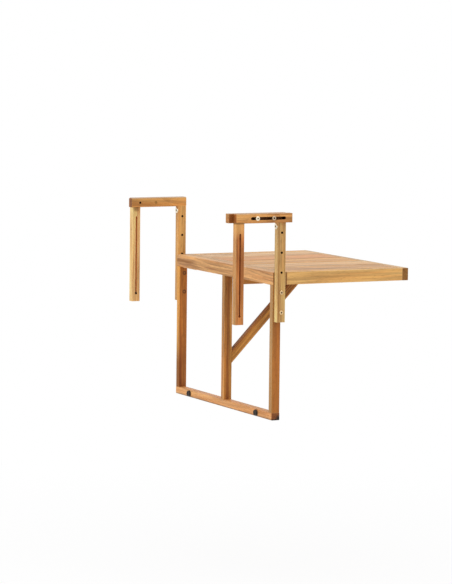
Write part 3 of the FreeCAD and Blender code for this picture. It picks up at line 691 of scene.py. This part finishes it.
# The centre post's darker sides are painted shade under the leaf.
CENTRE_POST_SIDE_SHADE = (0.81, 0.71, 0.49)
RIGHT_POST_SIDES = (0.87, 0.60, 0.32)
RIGHT_UPRIGHT_SIDES = (0.77, 0.65, 0.59)
DAMP_ENDS = (0.35, 0.22, 0.13)
WEAKLY_ALONG_X = (0.1, 1.0, 1.0)
WEAKLY_ALONG_Z = (0.0, 1.0, 0.12)
rail_heart = streak((-310, -5, -154), (-225, 8, -151), fade=8.0, depth=0.7, keep=WEAKLY_ALONG_X)
left_post_heart = streak((0, -5, -520), (0, 6, -450), fade=7.0, depth=0.6, keep=WEAKLY_ALONG_Z)
centre_post_heart = streak((0, 10, -520), (0, 13, -170), fade=4.5, depth=0.6)
right_upright_heart = streak((0, 5.5, -270), (0, 7.0, 0), fade=3.2, depth=0.45)
wood_finish("top_rail", "X", (211, 157, 104), 5.88, silver=0.3, contrast=1.4,
            marks=((rail_heart, HEARTWOOD_AND_SHADE_BROWN),))
# The bottom rail has painted shade along its lower edges.
wood_finish("bottom_rail", "X", (217, 159, 103), 10.80, contrast=0.8, end_tint=DAMP_ENDS, underside_shade=True)
wood_finish("post_left", "Z", (202, 143, 70), 22.43, contrast=1.4, side_tint=LEFT_POST_SIDES,
            marks=((left_post_heart, HEARTWOOD_AND_SHADE_RED), (insert_rims, INSERT_RIM_SHADE)))
wood_finish("post_centre", "Z", (175, 123, 73), 23.08, contrast=2.2, side_tint=CENTRE_POST_SIDE_SHADE,
            marks=((centre_post_heart, HEARTWOOD_AND_SHADE_RED),))
wood_finish("post_right", "Z", (180, 136, 84), 30.44, contrast=0.5, side_tint=RIGHT_POST_SIDES,
            marks=((insert_rims, INSERT_RIM_SHADE),))
wood_finish("upright_left", "Z", (211, 160, 97), 31.70, marks=((upright_holes, BORE_SHADE),))
wood_finish("upright_right", "Z", (207, 174, 119), 25.03, contrast=1.8, side_tint=RIGHT_UPRIGHT_SIDES,
            marks=((right_upright_heart, HEARTWOOD_AND_SHADE_BROWN), (upright_holes, BORE_SHADE)))
wood_finish("frame_dowels", "Z", (215, 180, 130), 49.1)

# %% [markdown]
# Each hook has two arms and a leg. The arms are orange, with ends that drank more or less oil, and the right
# fixed arm has painted shade on its sides, where the slotted arm lies against it. The right leg is reddish,
# with pale sapwood at its top. The left leg is the palest piece of all, with painted shade at its top under
# the arm, and its slot has pale walls.

# %% Wood of the hooks
DARK_ENDS = (0.46, 0.32, 0.13)
RED_ENDS = (0.53, 0.34, 0.19)
PALE_ENDS = (0.88, 0.92, 0.86)
# Painted shade on the right fixed arm's sides, beside the slotted arm.
ARM_SIDE_SHADE = (0.47, 0.33, 0.17)
RED_WALL = (0.52, 0.18, 0.05, 1.0)
PALE_WALL = (0.80, 0.38, 0.12, 1.0)
# Painted shade in the line where a leg meets its arm.
JOINT_SHADE = linear(96, 60, 24)
SAPWOOD = linear(232, 176, 105)
LEFT_LEG_SIDES = (0.98, 0.94, 0.98)
RIGHT_LEG_SIDES = (0.96, 0.70, 0.57)
ONLY_Z = (0.0, 0.0, 1.0)
# The left leg's dark streak at its top is painted shade under its arm.
left_leg_top_shade = streak((0, -123, -7), (0, -116, 0), fade=9.0, depth=0.6)
right_leg_heart = streak((0, -117, -190), (0, -113, -80), fade=6.0, depth=0.45, keep=WEAKLY_ALONG_Z)
right_leg_sapwood = streak((0, 0, -14), (0, 0, 0), fade=32.0, depth=0.6, keep=ONLY_Z)
wood_finish("fixed_arm_left", "Y", (200, 145, 85), 38.49, silver=0.8, contrast=1.2, end_tint=DARK_ENDS,
            marks=((cross_holes, BORE_SHADE),))
wood_finish("fixed_arm_right", "Y", (206, 141, 77), 30.6, silver=0.8, side_tint=ARM_SIDE_SHADE,
            end_tint=PALE_ENDS, marks=((cross_holes, BORE_SHADE),))
wood_finish("slotted_arm_left", "Y", (211, 145, 78), 34.3, silver=0.8, end_tint=DARK_ENDS,
            marks=((arm_slot, BORE_SHADE),))
wood_finish("slotted_arm_right", "Y", (196, 141, 86), 48.98, silver=0.8, contrast=1.5, end_tint=RED_ENDS,
            marks=((arm_slot, BORE_SHADE),))
wood_finish("hook_leg_left", "Z", (234, 195, 134), 50.24, contrast=1.1, side_tint=LEFT_LEG_SIDES,
            marks=((left_leg_top_shade, HEARTWOOD_AND_SHADE_BROWN), (leg_joint_shade, JOINT_SHADE), (leg_slot, PALE_WALL),
                   (leg_hole, BORE_SHADE)))
wood_finish("hook_leg_right", "Z", (185, 134, 83), 53.33, contrast=1.8, side_tint=RIGHT_LEG_SIDES,
            marks=((right_leg_sapwood, SAPWOOD), (right_leg_heart, HEARTWOOD_AND_SHADE_RED), (leg_joint_shade, JOINT_SHADE),
                   (leg_slot, RED_WALL), (leg_hole, RED_WALL)))

# %% [markdown]
# The leaf's boards and slats get the silvery tan on their tops, partly weathering and partly painted sheen.
# The slats differ only in colour, seed and contrast, so a loop does them. The strut leans, so its grain and
# its two dark streaks lie in a frame turned with it; the streak along its upper edge is painted shade.

# %% Wood of the leaf and strut
LEAF_ENDS = (0.40, 0.28, 0.15)
SLATS = (((190, 149, 113), 81.63, 2.2), ((201, 142, 90), 82.89, 1.2), ((203, 152, 94), 78.66, 1.2),
         ((185, 143, 105), 88.46, 2.4), ((178, 133, 89), 100.09, 2.0))
STRUT_TURN = GRAIN_TURN["strut"]
# The streak along the strut's upper edge is painted shade under the leaf.
strut_edge_shade = streak((0, 0, -283), (0, 0, -281), fade=4.5, depth=0.5, keep=ONLY_Z, turn=STRUT_TURN)
strut_low_heart = streak((0, 0, -298), (0, 0, -297), fade=3.0, depth=0.35, keep=ONLY_Z, turn=STRUT_TURN)
wood_finish("inner_board", "X", (197, 152, 102), 52.8, silver=0.4)
wood_finish("outer_board", "X", (225, 182, 126), 56.5, silver=0.5, end_tint=LEAF_ENDS)
wood_finish("side_board_left", "Y", (225, 170, 98), 60.2, silver=0.4)
wood_finish("side_board_right", "Y", (219, 172, 108), 74.27, silver=0.4, contrast=0.8)
for number, (colour, seed, contrast) in enumerate(SLATS, 1):
    wood_finish(f"slat_{number}", "Y", colour, seed, silver=0.1, contrast=contrast)
wood_finish("ledger_inner", "X", (200, 150, 90), 86.1)
wood_finish("ledger_outer", "X", (196, 146, 88), 89.8)
wood_finish("rib_left", "Y", (205, 145, 80), 93.5)
wood_finish("rib_right", "Y", (200, 140, 76), 97.2)
wood_finish("leaf_dowels", "Y", (215, 180, 130), 100.9)
# On the strut, the silvery tan of its upper face is painted shade under the leaf.
wood_finish("strut", "strut", (164, 109, 54), 105.21, silver=0.7, contrast=2.4,
            marks=((strut_edge_shade, HEARTWOOD_AND_SHADE_RED), (strut_low_heart, HEARTWOOD_AND_SHADE_RED)))
print("wooden finishes:", sum(m.name.endswith("_wood") for m in bpy.data.materials))

# %% [markdown]
# The hinges and screws are zinc plated: pale and a little cloudy, with a fine grain. The inserts are brass,
# those in the posts dark with age, and the bumpers are dusty black rubber on blackened screws. Flat colours
# would look like plastic, so one function clouds each finish between two colours and gives it a fine bump.

# %% Metal and rubber
CLOUD_SEED, GRIT_SEED = 1.0, 2.0
GRIT_FINENESS, GRIT_RELIEF, GRIT_DEPTH = 12, 0.15, 0.05 * MM
ROUGH_SPREAD = 0.08


def cloudy_finish(name, first, second, metallic, rough, scale=300.0):
    """A finish that varies between two colours, with a fine bump."""
    material, tree, surface = new_material(name)
    coords = tree.nodes.new("ShaderNodeTexCoord").outputs["Object"]
    stain = cloud(tree, coords, CLOUD_SEED, scale, detail=4.0)["Fac"]
    colour = mixed(tree, stain, first, second)
    roughness = ramp(tree, stain, *NOISE_MIDDLE, rough - ROUGH_SPREAD, rough + ROUGH_SPREAD)
    grit = cloud(tree, coords, GRIT_SEED, scale * GRIT_FINENESS)["Fac"]
    bump = bumped(tree, grit, GRIT_RELIEF, GRIT_DEPTH)
    feed_all(tree, surface, Base_Color=colour, Metallic=metallic, Roughness=roughness, Normal=bump)
    return material


PALE_ZINC, CLOUDED_ZINC = linear(248, 235, 207), linear(204, 188, 156)
zinc = cloudy_finish("zinc_plate", PALE_ZINC, CLOUDED_ZINC, metallic=1.0, rough=0.36)
brass = cloudy_finish("dull_brass", linear(202, 147, 78), linear(152, 107, 48), metallic=0.5, rough=0.5)
dark_brass = cloudy_finish("dark_brass", linear(112, 62, 26), linear(78, 42, 18), metallic=0.0, rough=0.7)
blackened = cloudy_finish("blackened_steel", linear(66, 58, 50), linear(40, 35, 31), metallic=0.6, rough=0.5)
rubber = cloudy_finish("black_rubber", linear(52, 40, 30), linear(32, 25, 19), metallic=0.0, rough=0.62,
                       scale=180.0)
FINISHES = {
    zinc: ("hinge_frame_plates", "hinge_leaf_plates", "hinge_pins", "pivot_nut"),
    blackened: ("bumper_screws",),
    brass: ("arm_inserts",),
    dark_brass: ("upright_inserts",),
    rubber: ("bumpers",),
}
for finish, names in FINISHES.items():
    for name in names:
        dress(name, finish)

# %% [markdown]
# Each fixed arm has an insert beside the upright and one further out. The one beside the upright hardly
# shows, because wax fills it and has taken the wood's colour. All the inserts are one mesh with one slot, so
# the place along the arm tells them apart, and the brass is mixed with wax from there on.

# %% A waxed insert
WAX_FROM, WAX_BORDER = -45.0, 1.0
WAXED_WOOD = linear(207, 150, 88)


def beside_upright(tree, place):
    """One for what is on the arms next to the upright, and zero further out."""
    return ramp(tree, split(tree, place)["Y"], WAX_FROM * MM, (WAX_FROM + WAX_BORDER) * MM)


tree = brass.node_tree
surface = tree.nodes["Principled BSDF"]
bare_brass = surface.inputs["Base Color"].links[0].from_socket
brass_shine = surface.inputs["Metallic"].default_value
wax = beside_upright(tree, tree.nodes["Texture Coordinate"].outputs["Object"])
feed_all(tree, surface, Base_Color=mixed(tree, wax, bare_brass, WAXED_WOOD),
         Metallic=ramp(tree, wax, 0.0, 1.0, brass_shine, 0.0))
print("waxed from Y", WAX_FROM, "mm on")

# %% [markdown]
# A bolt's head is turned on a lathe, so it has fine rings round its axis. The shank has a thread, and its tip
# shows in the middle of the insert on the other side. Both are too fine to model, so they are a bump, worked
# out from the distance from the bolt's axis and the distance along it. Head and socket are masks.

# %% Head, socket and thread
KEY_4_MM, KEY_5_MM = 2.35, 2.93
BORDER = 0.1
TURNED_RINGS, RING_DEPTH = 0.35 * MM, 0.06
THREAD_PITCH = 1.0 * MM


def head_and_socket(tree, along, distance, seat, outward, key):
    """Masks of a head, which begins at the seat and lies outward of it, and of its hex socket."""
    past_seat = work_out(tree, "MULTIPLY", work_out(tree, "SUBTRACT", along, seat * MM), outward)
    head = ramp(tree, past_seat, -BORDER * MM, 0.0)
    socket = ramp(tree, distance, (key - BORDER) * MM, key * MM, 1.0, 0.0)
    return head, socket


def turned_and_threaded(tree, along, distance, head):
    """The height of the rings on the head and of the thread on the shank."""
    rings = work_out(tree, "SINE", work_out(tree, "MULTIPLY", distance, 2 * math.pi / TURNED_RINGS))
    thread = work_out(tree, "SINE", work_out(tree, "MULTIPLY", along, 2 * math.pi / THREAD_PITCH))
    threaded = work_out(tree, "MULTIPLY", thread, ramp(tree, head, 0.0, 1.0, 1.0, 0.0))
    return work_out(tree, "ADD", work_out(tree, "MULTIPLY", rings, RING_DEPTH), threaded)


print("sockets:", KEY_4_MM, "and", KEY_5_MM, "mm from axis to corner")

# %% [markdown]
# The head is bright plate with stains, and its socket is painted dark, as painted shade inside it. The shank
# is dull. The same group that finds the holes finds the bolts' axes. Where a mesh has bolts on both sides of
# the table, the distance along X is taken without its sign.

# %% Finish of a bolt
STAIN_SEED, STAIN_SCALE, STAIN_SPAN = 4.7, 24.0, (0.38, 0.62)
WAX_STAIN = 0.8
LEAST_SOCKET_SHADE = 0.7
SHANK_SHINE, HEAD_SHINE = 0.25, 1.0
SHANK_ROUGH, HEAD_ROUGH = 0.62, 0.34
TURNED_RELIEF, TURNED_DEPTH = 0.5, 0.15 * MM
STAINED_ZINC = linear(166, 139, 111)
# Painted shade for the hex sockets.
SOCKET_SHADE = linear(52, 36, 25)
DULL_STEEL, DARK_STEEL = linear(176, 127, 66), linear(128, 89, 44)


def bolt_finish(node, axis, seat, outward, line, keep=ACROSS_X, key=KEY_4_MM, mirrored=False, grime=1.0,
                plate=PALE_ZINC, tip=DULL_STEEL, waxed=False):
    """Plate on the heads of a row of bolts and dull thread on their shanks."""
    material, tree, surface = new_material(node + "_plate")
    coords = tree.nodes.new("ShaderNodeTexCoord").outputs["Object"]
    along = split(tree, coords)[axis]
    if mirrored:
        along = work_out(tree, "ABSOLUTE", along)
    distance = row(tree, coords, *line, keep=keep)
    head, socket = head_and_socket(tree, along, distance, seat, outward, key)
    weather = spread_noise(tree, coords, STAIN_SEED, STAIN_SCALE, STAIN_SPAN, high=grime, detail=5.0,
                           roughness=0.65)
    wax = beside_upright(tree, coords) if waxed else 0.0
    stain = work_out(tree, "MAXIMUM", weather, work_out(tree, "MULTIPLY", wax, WAX_STAIN))
    plated = mixed(tree, stain, plate, STAINED_ZINC)
    # Painted shade in the socket, deepest where the head is stained.
    socket_shade = work_out(tree, "MULTIPLY", socket, ramp(tree, stain, 0.0, 1.0, LEAST_SOCKET_SHADE, 1.0))
    drilled = mixed(tree, socket_shade, plated, SOCKET_SHADE)
    shank = mixed(tree, wax, mixed(tree, stain, tip, DARK_STEEL), WAXED_WOOD)
    outside_socket = work_out(tree, "MULTIPLY", head, work_out(tree, "SUBTRACT", 1.0, socket))
    height = turned_and_threaded(tree, along, distance, head)
    feed_all(tree, surface, Base_Color=mixed(tree, head, shank, drilled),
             Metallic=ramp(tree, outside_socket, 0.0, 1.0, SHANK_SHINE, HEAD_SHINE),
             Roughness=ramp(tree, outside_socket, 0.0, 1.0, SHANK_ROUGH, HEAD_ROUGH),
             Normal=bumped(tree, height, TURNED_RELIEF, TURNED_DEPTH))
    dress(node, material)


print("roughness of a head:", HEAD_ROUGH, "and of a shank:", SHANK_ROUGH)

# %% [markdown]
# All bolts could wear one finish, but each kind has aged in its own way. Those of the uprights have yellower
# plating and rusty tips, and those of the arms are the cleanest. The stop bolts have larger sockets, and the
# pivot bolt of the strut is on its own in the middle.

# %% Four kinds of bolt
YELLOW_ZINC = linear(238, 202, 148)
RUSTY_TIP = linear(200, 124, 56)
UPRIGHT_SEAT, ARM_SEAT, STOP_SEAT, PIVOT_SEAT = 320.0, 340.2, 3.0, 28.0
STOP_LINE = ((-310, 0, -12), (620, 0, 0), 2)
PIVOT_LINE = ((0, 231.5, -182), (0, 0, 0), 1)
ACROSS_Y = (1.0, 0.0, 1.0)
bolt_finish("upright_bolts", "X", UPRIGHT_SEAT, 1.0, HEIGHT_HOLES, mirrored=True, grime=0.6,
            plate=YELLOW_ZINC, tip=RUSTY_TIP)
bolt_finish("arm_bolts", "X", ARM_SEAT, 1.0, CROSS_HOLES, mirrored=True, grime=0.25, waxed=True)
bolt_finish("stop_bolts", "Y", STOP_SEAT, -1.0, STOP_LINE, keep=ACROSS_Y, key=KEY_5_MM, grime=0.4)
bolt_finish("pivot_bolt", "X", PIVOT_SEAT, 1.0, PIVOT_LINE)

# %% [markdown]
# Small screws hold the hinge plates and the slats' ledger strips. Their low round heads have a cross recess.
# One head is modelled: a short cylinder whose outer face is drawn in and raised to a dome. Its top looks
# down, as all these screws are driven from below.

# %% Dome of a screw
HEAD_RADIUS, HEAD_SIDES = 3.2 * MM, 24
HEAD_RISE = 0.6 * MM
DOME_RISE = 0.5 * MM
DOME_INSET = 1.3 * MM
SQUARE_ON = 0.9


def select_faces(piece, wanted):
    """Selects the faces of a mesh for which a test holds, and goes into edit mode."""
    bpy.ops.object.mode_set(mode="OBJECT")
    for part in (piece.data.vertices, piece.data.edges, piece.data.polygons):
        for item in part:
            item.select = False
    for face in piece.data.polygons:
        face.select = wanted(face)
    bpy.ops.object.mode_set(mode="EDIT")
    bpy.ops.mesh.select_mode(type="FACE")


bpy.ops.object.select_all(action="DESELECT")
bpy.ops.mesh.primitive_cylinder_add(vertices=HEAD_SIDES, radius=HEAD_RADIUS, depth=HEAD_RISE,
                                    location=(0, 0, -HEAD_RISE / 2))
screw = bpy.context.object
screw.name = "screw_pattern"
bpy.ops.object.transform_apply(location=True, rotation=True, scale=True)
select_faces(screw, lambda face: face.normal.z < -SQUARE_ON)
bpy.ops.mesh.inset(thickness=DOME_INSET)
bpy.ops.transform.translate(value=(0, 0, -DOME_RISE))
bpy.ops.object.mode_set(mode="OBJECT")
print("dome faces:", len(screw.data.polygons))

# %% [markdown]
# The recess could be painted on as a dark cross, but from close by it would look flat. So a cross is cut into
# the dome with a Boolean. The cutter is a small cube whose four sides are extruded.

# %% Cross recess
CROSS_LENGTH, CROSS_WIDTH, CROSS_DEPTH = 3.4 * MM, 0.9 * MM, 1.6 * MM
SMOOTH_BELOW = math.radians(40)
bpy.ops.object.select_all(action="DESELECT")
bpy.ops.mesh.primitive_cube_add(size=1.0, location=(0, 0, -HEAD_RISE - DOME_RISE))
cutter = bpy.context.object
bpy.ops.transform.resize(value=(CROSS_WIDTH, CROSS_WIDTH, CROSS_DEPTH))
bpy.ops.object.transform_apply(location=True, rotation=True, scale=True)
arm = (CROSS_LENGTH - CROSS_WIDTH) / 2
for side in ((1, 0, 0), (-1, 0, 0), (0, 1, 0), (0, -1, 0)):
    way = Vector(side)
    select_faces(cutter, lambda face: face.normal.dot(way) > SQUARE_ON and face.center.dot(way) < CROSS_WIDTH)
    bpy.ops.mesh.extrude_region_move(TRANSFORM_OT_translate={"value": way * arm})
bpy.ops.object.mode_set(mode="OBJECT")
bpy.ops.object.select_all(action="DESELECT")
screw.select_set(True)
bpy.context.view_layer.objects.active = screw
cross = screw.modifiers.new("cross", "BOOLEAN")
cross.operation = "DIFFERENCE"
cross.object = cutter
bpy.ops.object.modifier_apply(modifier="cross")
bpy.data.objects.remove(cutter)
bpy.ops.object.shade_smooth_by_angle(angle=SMOOTH_BELOW)
screw.data.materials.append(zinc)
print("screw faces:", len(screw.data.polygons), "size:", [round(v / MM, 2) for v in screw.dimensions])

# %% [markdown]
# Three screws hold each hinge plate and two hold each end of a slat. An Array modifier would turn them all
# alike. Each copy has its own mesh instead, with its place and a turn of its own in it, and rides on the body
# that it is driven into.

# %% Copies of the screw
HINGES, HINGE_STEPS = (-250, 250), (-18, 0, 18)
HINGE_ROWS = (("hinge_frame_plates", "back_frame", 13.5), ("hinge_leaf_plates", "leaf", 35.5))
STRIP_ROWS = (("ledger_inner", 50.5), ("ledger_outer", 389.5))
SLAT_PAIRS = (40, 81, 141, 192, 252)
PLATE_THICK = 1.5 * MM
SINK = 0.05 * MM
TURN_STEP = 0.7


def drive_screw(name, body, place, turn):
    """One copy of the screw, on the body that it is driven into."""
    copy = screw.copy()
    copy.data = screw.data.copy()
    copy.name = name
    copy.data.transform(Matrix.Translation(place) @ Matrix.Rotation(turn, 4, "Z"))
    bpy.context.scene.collection.objects.link(copy)
    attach(copy, body)


places = []
for plates, body, line in HINGE_ROWS:
    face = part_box(plates)[1][2] - PLATE_THICK + SINK
    places += [("hinge", body, hinge + step, line, face) for hinge in HINGES for step in HINGE_STEPS]
for strip, line in STRIP_ROWS:
    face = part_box(strip)[0][2] + SINK
    places += [("slat", "leaf", side * reach, line, face) for reach in SLAT_PAIRS for side in (-1, 1)]
for count, (kind, body, along, line, face) in enumerate(places, 1):
    place = Vector((along * MM, line * MM, face))
    drive_screw(f"{kind}_screw_{count}", body, place, TURN_STEP * count)
bpy.data.objects.remove(screw)
print("screws:", len(places))

# %% [markdown]
# The table is shown on a white ground. Strong lamps on the floor would make it white, and spoil the table's
# colours. So the floor and the world are white only where they are seen, straight or mirrored in metal, and
# give a plain amount of light otherwise. Light Path tells the two kinds of ray apart.

# %% Rays that are seen
def seen_rays(tree):
    """One for what is seen, straight or through gloss and glass, and zero for light on the table."""
    rays = tree.nodes.new("ShaderNodeLightPath").outputs
    mirrored = work_out(tree, "MAXIMUM", rays["Is Glossy Ray"], rays["Is Transmission Ray"])
    return work_out(tree, "MAXIMUM", rays["Is Camera Ray"], mirrored)


print("helper:", seen_rays.__name__)

# %% [markdown]
# The table hangs on its railing about a metre up, so the floor lies well below it. It is a wide pale disc.
# What is seen of it is nearly white, with a trace of the table's shadow, and fades to plain white at the rim,
# so that no edge shows. Its back is clear, so that the table can be looked at from below.

# %% Floor
FLOOR_DROP, FLOOR_RADIUS, FLOOR_SIDES = 1.0, 4.0, 96
FLOOR_GREY, FLOOR_ROUGH = (0.9, 0.9, 0.9, 1.0), 0.8
FADE_FROM, FADE_TO = 0.1 * FLOOR_RADIUS, 0.5 * FLOOR_RADIUS
GLOW_SHARE = 0.9
bpy.ops.object.select_all(action="DESELECT")
bpy.ops.mesh.primitive_circle_add(vertices=FLOOR_SIDES, radius=FLOOR_RADIUS, fill_type="NGON",
                                  location=(0, 0, -FLOOR_DROP))
floor = bpy.context.object
floor.name = "floor"
pale, tree, painted = new_material("pale_floor")
feed_all(tree, painted, Base_Color=FLOOR_GREY, Roughness=FLOOR_ROUGH)
coords = tree.nodes.new("ShaderNodeTexCoord").outputs["Object"]
rim = ramp(tree, move_about(tree, "LENGTH", coords), FADE_FROM, FADE_TO, GLOW_SHARE, 1.0, "SMOOTHSTEP")
glow = add_node(tree, "ShaderNodeEmission", Strength=1.0)
blend = add_node(tree, "ShaderNodeMixShader", Fac=work_out(tree, "MULTIPLY", rim, seen_rays(tree)))
tree.links.new(painted.outputs[0], blend.inputs[1])
tree.links.new(glow.outputs[0], blend.inputs[2])
underside = tree.nodes.new("ShaderNodeNewGeometry").outputs["Backfacing"]
beneath = add_node(tree, "ShaderNodeMixShader", Fac=underside)
tree.links.new(blend.outputs[0], beneath.inputs[1])
tree.links.new(tree.nodes.new("ShaderNodeBsdfTransparent").outputs[0], beneath.inputs[2])
tree.links.new(beneath.outputs[0], tree.nodes["Material Output"].inputs["Surface"])
floor.data.materials.append(pale)
print("floor normal:", tuple(round(v) for v in floor.data.polygons[0].normal))

# %% [markdown]
# Soft studio light: a white world gives the even part, a large lamp from the railing's side brightens the
# faces that look that way, one from above lights the top, and a weak one fills in the ends. Small lamps would
# throw hard shadows, so all three are about two metres wide.

# %% Light
WORLD_LIGHT = 0.68
WHITE = (1.0, 1.0, 1.0, 1.0)
world = bpy.data.worlds.new("studio")
bpy.context.scene.world = world
world.use_nodes = True
tree = world.node_tree
glow = ramp(tree, seen_rays(tree), 0.0, 1.0, WORLD_LIGHT, 1.0)
feed_all(tree, tree.nodes["Background"], Color=WHITE, Strength=glow)
middle = (Vector(cad_box[0]) + Vector(cad_box[1])) / 2


def soft_lamp(name, place, size, power):
    """A square lamp that faces the table."""
    bpy.ops.object.light_add(type="AREA", location=place)
    lamp = bpy.context.object
    lamp.name = name
    lamp.data.size = size
    lamp.data.energy = power
    lamp.rotation_euler = (middle - Vector(place)).to_track_quat("-Z", "Y").to_euler()
    print(name, "stands", round((middle - Vector(place)).length, 2), "m away")


soft_lamp("railing_side_lamp", (-0.6, -2.6, 0.9), size=2.0, power=22)
soft_lamp("top_lamp", (0.4, 0.3, 2.4), size=2.2, power=22)
soft_lamp("end_lamp", (2.8, -0.3, 0.4), size=2.0, power=9)

# %% [markdown]
# The camera stands a little above the leaf, on the railing's side, far enough away for nearly parallel edges.
# It could be aimed at the middle of the table, but the photograph is framed a little off it and hangs a
# little askew. So its turn is written as compass angle, tilt and a slight roll.

# %% Camera
CAMERA_PLACE = Vector((7.4498, -3.6668, 0.6068))
COMPASS, TILT, ROLL = (math.radians(v) for v in (63.743, 5.664, 0.628))
FOCAL_PIXELS, PHOTO_HEIGHT = 3020.6, 584
forward = Vector((-math.sin(COMPASS) * math.cos(TILT), math.cos(COMPASS) * math.cos(TILT), -math.sin(TILT)))
level_right = Vector((math.cos(COMPASS), math.sin(COMPASS), 0))
level_up = level_right.cross(forward)
right = math.cos(ROLL) * level_right + math.sin(ROLL) * level_up
up = math.cos(ROLL) * level_up - math.sin(ROLL) * level_right
lens = bpy.data.cameras.new("photo_camera")
lens.lens = FOCAL_PIXELS / PHOTO_HEIGHT * lens.sensor_width
camera = bpy.data.objects.new("photo_camera", lens)
camera.matrix_world = Matrix((right, up, -forward)).transposed().to_4x4()
camera.location = CAMERA_PLACE
bpy.context.scene.collection.objects.link(camera)
bpy.context.scene.camera = camera
bpy.context.scene.view_settings.view_transform = "Standard"
print("lens:", round(lens.lens, 1), "mm")
